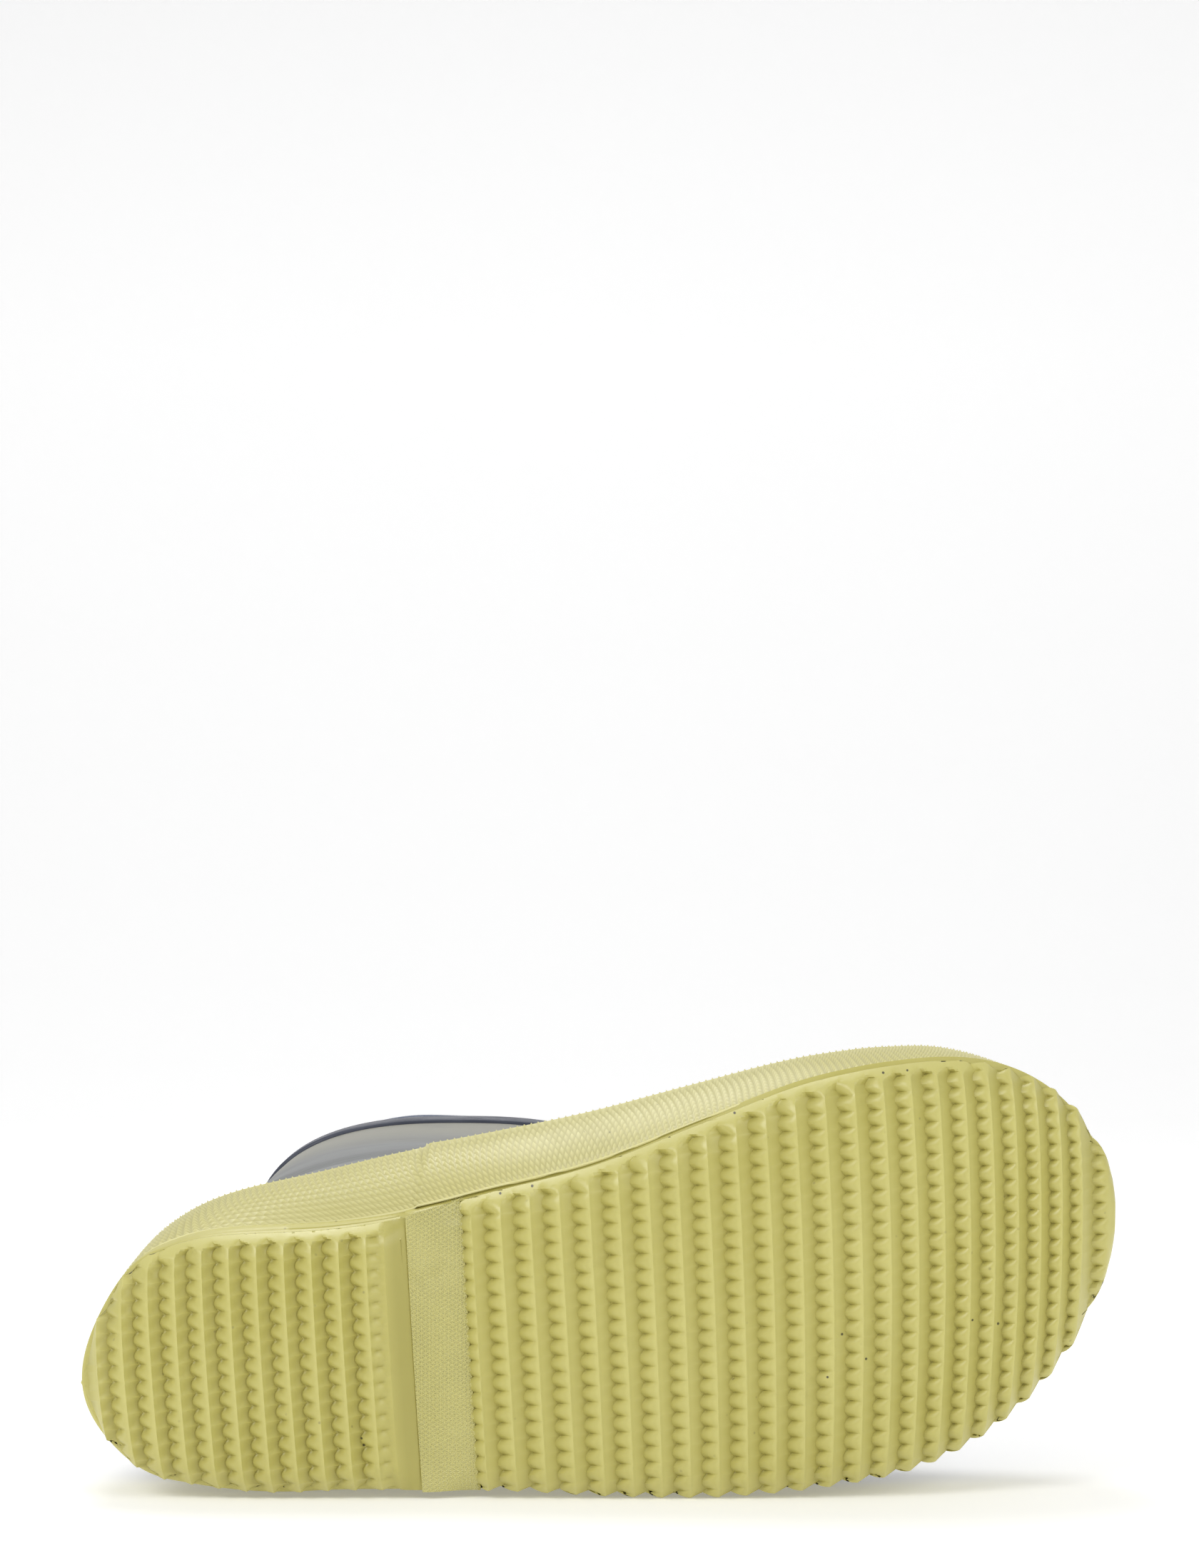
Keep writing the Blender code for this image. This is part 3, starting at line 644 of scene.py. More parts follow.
def edge_loop(inset, margin, length_from=0.0, length_to=None):
    """A closed loop round the sole, pulled in by inset and on the inner side by margin, as x and m."""
    low = max(inset, length_from)
    high = SOLE_LENGTH - inset if length_to is None else length_to
    turn = np.linspace(0.0, math.pi, LOOP_POINTS)
    x = low + (high - low) * (1 - np.cos(turn)) / 2
    if length_to is not None:
        x = low + (high - low) * (1 - np.cos(turn / 2))
    outer, inner = sole_edges(x, inset, margin)
    if length_to is None:
        return np.concatenate([x, x[-2:0:-1]]), np.concatenate([outer, inner[-2:0:-1]])
    return np.concatenate([x, x[::-1][:-1]]), np.concatenate([outer, inner[::-1][:-1]])


def capped(loops, start):
    """Faces of a band of loops with its last loop closed by one face."""
    count = len(loops[0])
    faces = [tuple(f) for f in loop_faces(len(loops), count, start)]
    faces.append(tuple(start + (len(loops) - 1) * count + np.arange(count)))
    return faces


def joined(name, grids, loops, material, more=()):
    """One piece from relief grids and an edge band."""
    points, faces, shade, start = [], [], [], 0
    kinds = []
    for grid, depth, kind in grids:
        rows, columns = grid.shape[:2]
        points.append(grid.reshape(-1, 3))
        shade.append(depth.ravel())
        quads = grid_faces(rows, columns, start)
        faces += [tuple(f) for f in quads]
        kinds += [kind] * len(quads)
        start += rows * columns
    ring = capped(loops, start)
    points.append(np.concatenate(loops))
    shade.append(np.full(len(loops) * len(loops[0]), 0.25))
    faces += ring
    kinds += [0] * len(ring)
    mesh_points = laid(np.concatenate(points))
    piece = shell(name, mesh_points, faces, material, 32.0, {"depth": np.concatenate(shade)})
    for extra in more:
        piece.data.materials.append(extra)
    return piece


def forefoot_crests():
    crests = [FIRST_FOREFOOT_CREST]
    for number in range(1, FOREFOOT_RIBS):
        wrapped = max(0, number - FLAT_RIBS + 1)
        crests.append(crests[-1] + FOREFOOT_PITCH - PITCH_LOSS * wrapped)
    return crests


def make_outsole(material, waist_material):
    m, q = lobe_columns(np.array([-0.5, -0.44, -0.31, -0.12, 0.12, 0.31, 0.44]))
    seat = HEEL_THICKNESS + CLEARANCE
    breast = LAST_HEEL_CREST + LIP_SHARE * HEEL_PITCH + BREAST_RUN
    waist_end = FIRST_FOREFOOT_CREST - LEAD_SHARE * FOREFOOT_PITCH
    side = np.abs(2 * q)
    stations, depths = [], []
    for share in np.linspace(0.0, 1.0, 20):
        station = breast + CLEARANCE + (waist_end - breast - CLEARANCE) * share
        stations.append(station + 0.0007 * side**2 * share**12)
        depths.append(WAIST_DEPTH + (TREAD_DEPTH - WAIST_DEPTH) * share + 0 * m)
    for t in (0.08, 0.22, 0.42, 0.66, 0.86):
        start = stations[19]
        stations.append(start + (FIRST_FOREFOOT_CREST - start) * t)
        depths.append(TREAD_DEPTH * (1 - t) ** 1.6 + GROOVE * side**2.6 * (1 - t) ** 0.55)
    tip = tip_station(OUTER_MARGIN)
    rib_stations, rib_depths = rib_rows(forefoot_crests(), tip - 0.0013, q, m, 0.0)
    stations += rib_stations + [tip - 0.0013, tip - 0.0005, tip - 0.0001]
    depths += rib_depths + [0 * m, 0 * m, 0 * m]
    rounding = [float(ease(breast, waist_end, np.mean(s))) for s in stations]
    ribbed = [0.0] * 20 + [1.0] * (len(stations) - 20)
    grid, shade = relief(stations, depths, m, rounding, ribbed, OUTER_MARGIN, toe_spring)
    loops = []
    for inset, margin, up, drop in OUTSOLE_BAND:
        x, across = edge_loop(inset, margin)
        edge = np.minimum(toe_spring(x) + edge_rise(x, across) + TREAD_DEPTH, sole_top(x) - 0.0006)
        waist = WAIST_DEPTH + (edge - WAIST_DEPTH) * ease(breast, waist_end, x)
        under = np.where(x < breast + CLEARANCE, seat, waist)
        roof = sole_top(x)
        z = under + (roof - under) * up + drop * (1 - up)
        loops.append(np.stack([x, -across, np.minimum(z, roof)], axis=1))
    piece = joined("outsole_rubber", [(grid, shade, 0)], loops, material, [waist_material])
    c, s = math.cos(REST_LEAN), math.sin(REST_LEAN)
    for face in piece.data.polygons:
        x, _, z = face.center - Vector(LAID_AT)
        station = x * c + z * s
        if breast < station < waist_end + 0.0004 and abs(face.normal.y) > 0.5:
            face.material_index = 1
    return piece


def make_heel(material):
    m, q = lobe_columns(np.arange(10) / 10 - 0.5)
    crests = [LAST_HEEL_CREST - HEEL_PITCH * k for k in range(HEEL_RIBS - 1, -1, -1)]
    lip = LAST_HEEL_CREST + LIP_SHARE * HEEL_PITCH
    side = np.abs(2 * q)
    stations = [0.0003 + 0 * m, 0.45 * crests[0] + 0 * m]
    depths = [0.2 * TREAD_DEPTH + 0 * m, 0.8 * TREAD_DEPTH + 0 * m]
    rib_stations, rib_depths = rib_rows(crests[:-1], crests[-1], q, m, 1.0)
    stations += rib_stations
    depths += rib_depths
    last = crests[-1]
    for r in (0.0, 0.08, 0.4, 0.75, 1.0):
        stations.append(last + (lip - last) * 0.72 * r + 0 * m)
        depths.append(0.62 * TREAD_DEPTH * r**0.8 + 0.0007 * side**2 * math.sin(math.pi * r))
    stations.append(lip + 0 * m)
    depths.append(0.5 * TREAD_DEPTH + 0 * m)
    for r in (0.12, 0.4, 0.7, 1.0):
        stations.append(lip + (BREAST_RUN + 0.0008) * r + 0 * m)
        depths.append(0.5 * TREAD_DEPTH + (WAIST_DEPTH + 0.0005 - 0.5 * TREAD_DEPTH) * r + 0 * m)
    rounding = [1.0] * (len(stations) - 4) + [0.85, 0.6, 0.3, 0.0]
    ribbed = [1.0] * (len(stations) - 5) + [0.0] * 5
    grid, shade = relief(stations, depths, m, rounding, ribbed, OUTER_MARGIN + HEEL_MARGIN, lambda x: 0.0 * x)
    grid[0, :, 2] = HEEL_THICKNESS - 0.0008
    breast_end = lip + 0.97 * BREAST_RUN - 0.0004
    loops = []
    for inset, margin, up, drop in HEEL_BAND:
        x, across = edge_loop(inset, margin, 0.0, breast_end)
        edge = np.minimum(edge_rise(x, across) + TREAD_DEPTH, HEEL_THICKNESS - 0.0006)
        z = edge + (HEEL_THICKNESS - edge) * up + drop * (1 - up)
        loops.append(np.stack([x, -across, np.minimum(z, HEEL_THICKNESS)], axis=1))
    return joined("heel_rubber", [(grid, shade, 0)], loops, material)


def even_turns(height, spacing):
    """Directions at which a ring at that height is cut into an even number of equal steps."""
    dense = np.arange(1440) * 2 * math.pi / 1440
    points, _ = skin_ring(height, height, dense)
    steps = np.linalg.norm(np.roll(points[:, :2], -1, axis=0) - points[:, :2], axis=1)
    along = np.concatenate([[0.0], np.cumsum(steps)])
    count = 2 * int(round(along[-1] / spacing / 2))
    return np.interp(np.arange(count) * along[-1] / count, along, np.append(dense, 2 * math.pi))


def seam_shown(x):
    """1 along the stretch where the band meets the sole's smooth margin, 0 round the heel and the toe."""
    along = x / SOLE_LENGTH
    return ease(0.03, 0.10, along) * (1 - ease(0.82, 0.90, along))


def cracked(x):
    """Above zero along the stretches of the inner seam where the band has come away a little."""
    open_here = np.zeros_like(x)
    for start, end in CRACKS:
        open_here = np.maximum(open_here, ease(start, start + 0.0015, x) * (1 - ease(end - 0.0015, end, x)))
    return open_here


def make_foxing(material):
    turn = even_turns(FOXING_HEIGHT * 0.6, GRAIN_PITCH / 2)
    toe = np.clip(np.cos(turn), 0.0, None) ** 6
    heel = np.clip(-np.cos(turn), 0.0, None) ** 6
    tall = FOXING_HEIGHT + FOXING_TOE_RISE * toe + FOXING_HEEL_RISE * heel
    grain_foot, grain_top = 0.06, 0.955
    shares = [(0.0, 0.0, -0.00005), (0.012, 0.0, 0.0), (0.035, 0.0, 0.00003)]
    for i in range(GRAIN_ROWS):
        shares.append((grain_foot + (grain_top - grain_foot) * (i / (GRAIN_ROWS - 1)) ** 1.12, 1.0, 0.0))
    shares += [(0.972, 0.0, 0.00008), (0.988, 0.0, -0.0001), (1.0, 0.0, -0.0007)]
    rings, shade = [], []
    for i, (share, grain, out) in enumerate(shares):
        height = CLEARANCE + (tall - CLEARANCE) * share
        points, normal = skin_ring(height, height, turn)
        if share == 0.0:
            normal = level(normal)
        peak = (np.arange(len(turn)) + i) % 2 == 0
        lift = grain * np.where(peak, 0.5, -0.5) * GRAIN_HEIGHT
        x = points[:, 0]
        medial = points[:, 1] > centre_line(x)
        slant = LAP_AT + 0.0022 * (share - 0.5)
        lap = 0.00055 * np.exp(-np.clip((x - slant) / 0.009, 0.0, None))
        lap = lap * ease(slant - 0.0004, slant, x) * medial
        bump = 0.0011 * np.exp(-(((x - slant) / 0.0022) ** 2) - ((share - 0.97) / 0.06) ** 2) * medial
        tucked = SEAM_TUCK * np.clip(1 - share / 0.035, 0.0, 1.0) * (1 - cracked(x) * medial)
        slim = FOXING_SLIM * (1 - seam_shown(x) * ease(-0.006, 0.006, points[:, 1] - centre_line(x)))
        ring = points + normal * (CLEARANCE + FOXING_THICKNESS + out + lift + lap - tucked - slim)[:, None]
        ring[:, 2] += bump
        if share == 0.0:
            ring[:, 2] -= 0.00045 * (1 - cracked(x) * medial)
        rings.append(standing(off_ground(ring)))
        # the grain's low points are marked deep, so the material paints shade into them
        shade.append(np.where(peak, 0.0, grain))
    for share in (1.0, 0.6, 0.3, 0.0):
        height = CLEARANCE + (tall - CLEARANCE) * share
        points, normal = skin_ring(height, height, turn)
        if share == 0.0:
            normal = level(normal)
        gap = CLEARANCE * (1.0 if share > 0 else 1.2)
        rings.append(standing(off_ground(points + normal * gap, FOXING_THICKNESS)))
        shade.append(np.full(len(turn), 0.3))
    points = laid(np.concatenate(rings))
    count, around = len(rings), len(turn)
    faces = []
    for i in range(count):
        here, there = i * around, (i + 1) % count * around
        j = np.arange(around)
        k = (j + 1) % around
        even = (j + i) % 2 == 0
        a, b, c, d = here + j, here + k, there + k, there + j
        for flag, first, second in ((even, (a, b, d), (b, c, d)), (~even, (a, b, c), (a, c, d))):
            faces.append(np.stack(first, axis=1)[flag])
            faces.append(np.stack(second, axis=1)[flag])
    depth = {"depth": np.concatenate(shade)}
    return shell("foxing_rubber", points, np.concatenate(faces), material, 180.0, depth)


def creases(points, turn):
    """How far each point of the shaft and vamp is pushed in or out by the rubber's soft folds."""
    height = points[:, 2]
    push = np.zeros(len(points))
    for at, where, spread, tilt, width, depth in CREASES:
        away = (turn - math.radians(where) + math.pi) % (2 * math.pi) - math.pi
        line = at * SHAFT_HEIGHT + tilt * SHAFT_HEIGHT * away
        window = np.exp(-((away / math.radians(spread)) ** 4))
        along = (height - line) / (width * SHAFT_HEIGHT)
        push += window * depth * (np.exp(-(along**2)) - 0.45 * np.exp(-((along - 1.7) ** 2)))
    return push


def make_upper(material):
    turn = even_turns(FOXING_HEIGHT, 0.0026)
    body = BINDING_FOOT - CLEARANCE
    outer, inner = [], []
    for number, step in enumerate(np.linspace(0.0, 1.0, UPPER_RINGS)):
        at_heel = follow(FAN_COLUMNS, FAN, "at_heel", step) * body + CLEARANCE * (1 - step)
        at_toe = follow(FAN_COLUMNS, FAN, "at_toe", step) * body + CLEARANCE * (1 - step)
        points, normal = skin_ring(at_heel, at_toe, turn)
        if number == 0:
            normal = level(normal)
        lifted = under_foxing(points[:, 2])
        free = ease(FOXING_HEIGHT + 0.004, FOXING_HEIGHT + 0.012, points[:, 2])
        free = free * (1 - ease(BINDING_FOOT - 0.010, BINDING_FOOT - 0.002, points[:, 2]))
        push = creases(points, turn) * free
        outer.append(off_ground(points - normal * push[:, None], lifted))
        if number % 2 == 0:
            inner.append(off_ground(points - normal * (WALL + push)[:, None], lifted + WALL))
    recess = BINDING_THICKNESS + CLEARANCE
    for height in (BINDING_FOOT, SHAFT_HEIGHT):
        points, normal = skin_ring(height, height, turn)
        outer.append(off_ground(points - level(normal) * BINDING_RECESS, recess))
    inner.append(off_ground(points - level(normal) * (WALL + BINDING_RECESS), recess + WALL))
    rings = [standing(r) for r in outer + inner[::-1]]
    return band_solid("upper_rubber", rings, material, 50.0)


def make_binding(material):
    turn = even_turns(SHAFT_HEIGHT, 0.0018)
    foot = BINDING_FOOT + CLEARANCE
    top = SHAFT_HEIGHT + CLEARANCE
    seat = CLEARANCE - BINDING_RECESS
    out = seat + BINDING_THICKNESS
    back = -(WALL + BINDING_RECESS)
    roof = top + BINDING_THICKNESS * 0.8
    wave = 0.00012 * np.sin(turn * 9) + 0.00008 * np.sin(turn * 23 + 1.0)
    profile = (
        (seat, foot, BINDING_THICKNESS),
        (out * 0.55, foot, BINDING_THICKNESS * 0.45),
        (out * 0.9, foot + 0.04 * BINDING_HEIGHT, BINDING_THICKNESS * 0.1),
        (out, foot + 0.15 * BINDING_HEIGHT, 0.0),
        (out * 0.93, foot + 0.5 * BINDING_HEIGHT, 0.0),
        (out, SHAFT_HEIGHT - 0.0004, 0.0),
        (out * 0.9, SHAFT_HEIGHT + 0.0007, 0.0),
        (out * 0.6, roof - 0.0001, BINDING_THICKNESS * 0.5),
        (out * 0.1, roof, BINDING_THICKNESS * 0.9),
        (back, roof - 0.0001, BINDING_THICKNESS + WALL),
        (back, top, BINDING_THICKNESS + WALL),
        (seat, top, BINDING_THICKNESS),
    )
    rings = []
    for offset, height, allowance in profile:
        points, normal = skin_ring(min(height, SHAFT_HEIGHT), min(height, SHAFT_HEIGHT), turn)
        points = points + level(normal) * offset
        points[:, 2] = height + wave * (height < foot + 0.2 * BINDING_HEIGHT)
        rings.append(standing(off_ground(points, allowance)))
    return band_solid("collar_binding_rubber", rings, material, 60.0)


def make_cuff(material):
    turn = even_turns(SHAFT_HEIGHT, 0.0011)
    puff = CUFF_PUFF * np.exp(-(((turn - PUFF_AT) / PUFF_SPREAD) ** 2))
    skin = -(WALL + BINDING_RECESS + CLEARANCE)
    inner = skin - CUFF_THICKNESS
    roof = SHAFT_HEIGHT + CLEARANCE * 2 + BINDING_THICKNESS * 0.8
    tip = SHAFT_HEIGHT + CUFF_RISE
    shoulder = roof + (tip - roof) * 0.45
    allowance = BINDING_THICKNESS + WALL + 2 * CLEARANCE
    full = allowance + CUFF_THICKNESS
    profile = (
        (skin, SHAFT_HEIGHT - CUFF_DEPTH, 0.0, allowance),
        (skin, SHAFT_HEIGHT - BINDING_HEIGHT, 0.0, allowance),
        (skin, roof, 0.0, allowance),
        (skin + 0.20 * CUFF_THICKNESS, roof + 0.10 * (tip - roof), 0.4, allowance),
        (skin + 0.38 * CUFF_THICKNESS, roof + 0.22 * (tip - roof), 0.72, allowance),
        (skin + 0.56 * CUFF_THICKNESS, roof + 0.36 * (tip - roof), 0.92, allowance),
        (skin + 0.62 * CUFF_THICKNESS, roof + 0.52 * (tip - roof), 1.0, allowance),
        (skin + 0.56 * CUFF_THICKNESS, roof + 0.68 * (tip - roof), 1.0, allowance),
        (skin + 0.36 * CUFF_THICKNESS, roof + 0.84 * (tip - roof), 0.95, allowance + 0.15 * CUFF_THICKNESS),
        (skin + 0.08 * CUFF_THICKNESS, tip - 0.05 * (tip - roof), 0.87, allowance + 0.3 * CUFF_THICKNESS),
        (skin - 0.30 * CUFF_THICKNESS, tip, 0.78, allowance + 0.5 * CUFF_THICKNESS),
        (skin - 0.75 * CUFF_THICKNESS, tip - 0.03 * (tip - roof), 0.68, allowance + 0.8 * CUFF_THICKNESS),
        (inner, tip - 0.16 * (tip - roof), 0.58, full),
        (inner, shoulder, 0.3, full),
        (inner, SHAFT_HEIGHT - BINDING_HEIGHT, 0.0, full),
        (inner, SHAFT_HEIGHT - 0.6 * CUFF_DEPTH, 0.0, full),
        (inner, SHAFT_HEIGHT - CUFF_DEPTH, 0.0, full),
    )
    rumple = 0.00022 * np.sin(turn * 7 + 0.6) + 0.00013 * np.sin(turn * 17 + 2.1)
    rings = []
    for offset, height, puffed, kept in profile:
        points, normal = skin_ring(min(height, SHAFT_HEIGHT), min(height, SHAFT_HEIGHT), turn)
        above = float(ease(roof, tip, height))
        points = points + level(normal) * (offset + puffed * puff + rumple * above)[:, None]
        points[:, 2] = height + 0.0004 * np.sin(turn * 4 + 1.3) * above
        rings.append(standing(off_ground(points, kept)))
    return band_solid("cuff_textile", rings, material, 70.0)


def make_lining(material):
    """The textile inside of the boot, from the insole's edge up to behind the cuff."""
    turn = even_turns(FOXING_HEIGHT, 0.0032)
    top = (SHAFT_HEIGHT - CUFF_DEPTH - 0.0006) / BINDING_FOOT
    near, far = [], []
    for step in np.linspace(0.06, 1.0, 44):
        at_heel = follow(FAN_COLUMNS, FAN, "at_heel", step) * BINDING_FOOT * top + 0.0006
        at_toe = follow(FAN_COLUMNS, FAN, "at_toe", step) * BINDING_FOOT * top + 0.0006
        points, normal = skin_ring(at_heel, at_toe, turn)
        lifted = under_foxing(points[:, 2]) + WALL
        push = creases(points, turn) * ease(FOXING_HEIGHT + 0.004, FOXING_HEIGHT + 0.012, points[:, 2])
        near.append(off_ground(points - normal * (WALL + 0.0003 + push)[:, None], lifted + 0.0003))
        far.append(off_ground(points - normal * (WALL + 0.0013 + push)[:, None], lifted + 0.0013))
    rings = [standing(r) for r in near + far[::-1]]
    return band_solid("lining_textile", rings, material, 70.0)


def make_insole(material):
    turn = even_turns(FOXING_HEIGHT, 0.0030)
    points, normal = skin_ring(CLEARANCE, CLEARANCE, turn)
    normal = level(normal)
    middle = np.array([SOLE_LENGTH / 2, 0.0, 0.0])
    loops = []
    for inset, height in INSOLE_RIM:
        loop = points - normal * (WALL + CLEARANCE + inset)
        loop[:, 2] = CLEARANCE + height
        loops.append(loop)
    edge = loops[-1]
    for shrink in (0.75, 0.5, 0.25, 0.08):
        loop = edge.copy()
        spine = np.clip(edge[:, 0], 0.032, SOLE_LENGTH - 0.036)
        loop[:, 0] = spine + (edge[:, 0] - spine) * shrink
        loop[:, 1] = centre_line(spine) * 0.8 + (edge[:, 1] - centre_line(spine) * 0.8) * shrink
        loops.append(loop)
    loops = [standing(loop) for loop in loops]
    count = len(loops[0])
    faces = [tuple(f) for f in loop_faces(len(loops), count)]
    faces.append(tuple((len(loops) - 1) * count + np.arange(count)))
    faces.append(tuple(np.arange(count)[::-1]))
    return shell("insole_felt", laid(np.concatenate(loops)), faces, material, 50.0)


class Nodes:
    """Short names for building one material's nodes."""

    def __init__(self, name, colour, roughness):
        self.material = bpy.data.materials.new(name)
        self.material.use_nodes = True
        self.tree = self.material.node_tree
        self.shader = self.tree.nodes["Principled BSDF"]
        self.shader.inputs["Base Color"].default_value = (*colour, 1.0)
        self.shader.inputs["Roughness"].default_value = roughness
        coordinates = self.tree.nodes.new("ShaderNodeTexCoord")
        self.place = coordinates.outputs["Object"]

    def link(self, source, target):
        self.tree.links.new(source, target)

    def noise(self, scale, detail=4.0, rough=0.55, place=None):
        node = self.tree.nodes.new("ShaderNodeTexNoise")
        node.inputs["Scale"].default_value = scale
        node.inputs["Detail"].default_value = detail
        node.inputs["Roughness"].default_value = rough
        self.link(place or self.place, node.inputs["Vector"])
        return node.outputs["Fac"]

    def wave(self, scale, direction="X", place=None, distortion=0.0):
        node = self.tree.nodes.new("ShaderNodeTexWave")
        node.bands_direction = direction
        node.inputs["Scale"].default_value = scale
        node.inputs["Distortion"].default_value = distortion
        self.link(place or self.place, node.inputs["Vector"])
        return node.outputs["Fac"]

    def turned(self, angle, stretch=(1.0, 1.0, 1.0)):
        node = self.tree.nodes.new("ShaderNodeMapping")
        node.inputs["Rotation"].default_value = angle
        node.inputs["Scale"].default_value = stretch
        self.link(self.place, node.inputs["Vector"])
        return node.outputs["Vector"]

    def spots(self, scale, size):
        node = self.tree.nodes.new("ShaderNodeTexVoronoi")
        node.inputs["Scale"].default_value = scale
        self.link(self.place, node.inputs["Vector"])
        return self.between(node.outputs["Distance"], size, size * 0.4)

    def between(self, value, low, high, bottom=0.0, top=1.0):
        node = self.tree.nodes.new("ShaderNodeMapRange")
        node.inputs["From Min"].default_value = low
        node.inputs["From Max"].default_value = high
        node.inputs["To Min"].default_value = bottom
        node.inputs["To Max"].default_value = top
        self.link(value, node.inputs["Value"])
        return node.outputs["Result"]

    def math(self, kind, a, b):
        node = self.tree.nodes.new("ShaderNodeMath")
        node.operation = kind
        for number, value in enumerate((a, b)):
            if isinstance(value, float):
                node.inputs[number].default_value = value
            else:
                self.link(value, node.inputs[number])
        return node.outputs["Value"]

    def attribute(self, name):
        node = self.tree.nodes.new("ShaderNodeAttribute")
        node.attribute_name = name
        return node.outputs["Fac"]

    def mix(self, share, a, b):
        node = self.tree.nodes.new("ShaderNodeMix")
        node.data_type = "RGBA"
        for socket, value in ((node.inputs[6], a), (node.inputs[7], b)):
            if isinstance(value, tuple):
                socket.default_value = (*value, 1.0)
            else:
                self.link(value, socket)
        if isinstance(share, float):
            node.inputs[0].default_value = share
        else:
            self.link(share, node.inputs[0])
        return node.outputs[2]

    def colour(self, value):
        self.link(value, self.shader.inputs["Base Color"])

    def roughness(self, value):
        self.link(value, self.shader.inputs["Roughness"])

    def bump(self, height, distance, strength=1.0):
        node = self.tree.nodes.new("ShaderNodeBump")
        node.inputs["Strength"].default_value = strength
        node.inputs["Distance"].default_value = distance
        self.link(height, node.inputs["Height"])
        previous = getattr(self, "last_bump", None)
        if previous:
            self.link(previous, node.inputs["Normal"])
        self.last_bump = node.outputs["Normal"]
        self.link(self.last_bump, self.shader.inputs["Normal"])


def lime_rubber(name, base, shade, pale, grime_and_painted_shade):
    """Moulded lime rubber: cloudy colour, dirt and painted shade in the low places, pale wear, specks, a soft
    gloss.
    """
    n = Nodes(name, base, 0.45)
    clouds = n.noise(38.0, 5.0, 0.6)
    fine = n.noise(420.0, 4.0, 0.6)
    colour = n.mix(n.between(clouds, 0.35, 0.7, 0.0, 0.45), base, pale)
    # dirt and painted shade: darker by the depth attribute, in the tread's valleys and the grain's pits
    colour = n.mix(n.math("MULTIPLY", n.between(n.attribute("depth"), 0.25, 1.0), grime_and_painted_shade), colour, shade)
    colour = n.mix(n.between(n.attribute("depth"), 0.10, 0.0, 0.0, 0.45), colour, pale)
    patches = n.math("MULTIPLY", n.between(n.noise(75.0, 6.0, 0.7), 0.56, 0.72), 0.30)
    colour = n.mix(patches, colour, shade)
    specks = n.math("MULTIPLY", n.spots(260.0, 0.09), n.between(n.noise(60.0), 0.5, 0.6))
    colour = n.mix(n.math("MULTIPLY", specks, 0.55), colour, SPECK)
    flat = n.turned((0.0, 0.0, 0.0), (1.0, 0.0, 1.0))
    nearest = None
    for x, z, size in MARKS:
        away = n.tree.nodes.new("ShaderNodeVectorMath")
        away.operation = "DISTANCE"
        n.link(flat, away.inputs[0])
        away.inputs[1].default_value = (x, 0.0, z)
        reach = n.math("DIVIDE", away.outputs["Value"], size)
        nearest = reach if nearest is None else n.math("MINIMUM", nearest, reach)
    colour = n.mix(n.between(nearest, 1.0, 0.6, 0.0, 0.9), colour, PIT)
    n.colour(colour)
    n.roughness(n.between(n.math("ADD", clouds, n.math("MULTIPLY", fine, 0.6)), 0.5, 1.1, 0.30, 0.52))
    n.shader.inputs["Subsurface Weight"].default_value = 0.05
    n.shader.inputs["Subsurface Radius"].default_value = (0.0012, 0.0010, 0.0004)
    n.shader.inputs["Coat Weight"].default_value = 0.12
    n.shader.inputs["Coat Roughness"].default_value = 0.25
    n.bump(fine, 0.00004, 0.6)
    n.bump(n.noise(1500.0, 2.0), 0.000015, 0.5)
    return n


def woven(n):
    """Tiny hexagons moulded into the waist: three sets of ridges turned by 60 degrees, with painted shade in
    their lines and a painted highlight on their tops.
    """
    ridges = None
    for degrees in (0.0, 60.0, 120.0):
        ridge = n.wave(HEX_SCALE, "X", n.turned((0.0, math.radians(degrees), 0.0)))
        ridges = ridge if ridges is None else n.math("MINIMUM", ridges, ridge)
    worn = n.between(n.noise(30.0), 0.35, 0.6, 0.55, 1.0)
    n.bump(n.math("MULTIPLY", ridges, worn), 0.00045, 1.0)
    # painted shade in the hexagons' lines and a painted highlight on the ridge tops
    plain_colour = n.shader.inputs["Base Color"].links[0].from_socket
    lined = n.mix(n.between(ridges, 0.0, 0.30, 0.55, 0.0), plain_colour, (0.40, 0.36, 0.09))
    n.colour(n.mix(n.between(ridges, 0.5, 0.9, 0.0, 0.6), lined, (0.76, 0.73, 0.38)))
    return n


def grey_rubber():
    """The shaft's satin rubber, with faint lines, and painted shade lower down round the ankle."""
    base, shade, pale = (0.235, 0.228, 0.182), (0.130, 0.135, 0.125), (0.285, 0.275, 0.230)
    n = Nodes("shaft_rubber", base, 0.5)
    clouds = n.noise(22.0, 5.0, 0.6)
    colour = n.mix(n.between(clouds, 0.35, 0.7, 0.0, 0.5), base, pale)
    split = n.tree.nodes.new("ShaderNodeSeparateXYZ")
    n.link(n.place, split.inputs["Vector"])
    # painted shade: darker lower down the shaft, towards the ankle
    colour = n.mix(n.between(split.outputs["Y"], 0.068, 0.030, 0.0, 0.9), colour, ANKLE_PAINTED_SHADE)
    colour = n.mix(n.math("MULTIPLY", n.between(n.noise(70.0, 6.0, 0.7), 0.55, 0.75), 0.4), colour, shade)
    n.colour(colour)
    lines = n.noise(900.0, 3.0, 0.5, n.turned((0.0, 0.0, 0.0), (0.12, 1.0, 0.12)))
    n.roughness(n.between(clouds, 0.3, 0.8, 0.42, 0.58))
    n.shader.inputs["Coat Weight"].default_value = 0.06
    n.shader.inputs["Coat Roughness"].default_value = 0.3
    n.bump(lines, 0.00010, 0.8)
    n.bump(n.noise(2200.0, 2.0), 0.000012, 0.4)
    return n.material


def navy_rubber():
    n = Nodes("binding_rubber", NAVY[0], 0.45)
    n.colour(n.mix(n.between(n.noise(90.0, 5.0), 0.4, 0.7, 0.0, 0.5), *NAVY))
    n.roughness(n.between(n.noise(160.0), 0.3, 0.7, 0.38, 0.55))
    n.bump(n.noise(900.0, 3.0), 0.00004, 0.5)
    return n.material


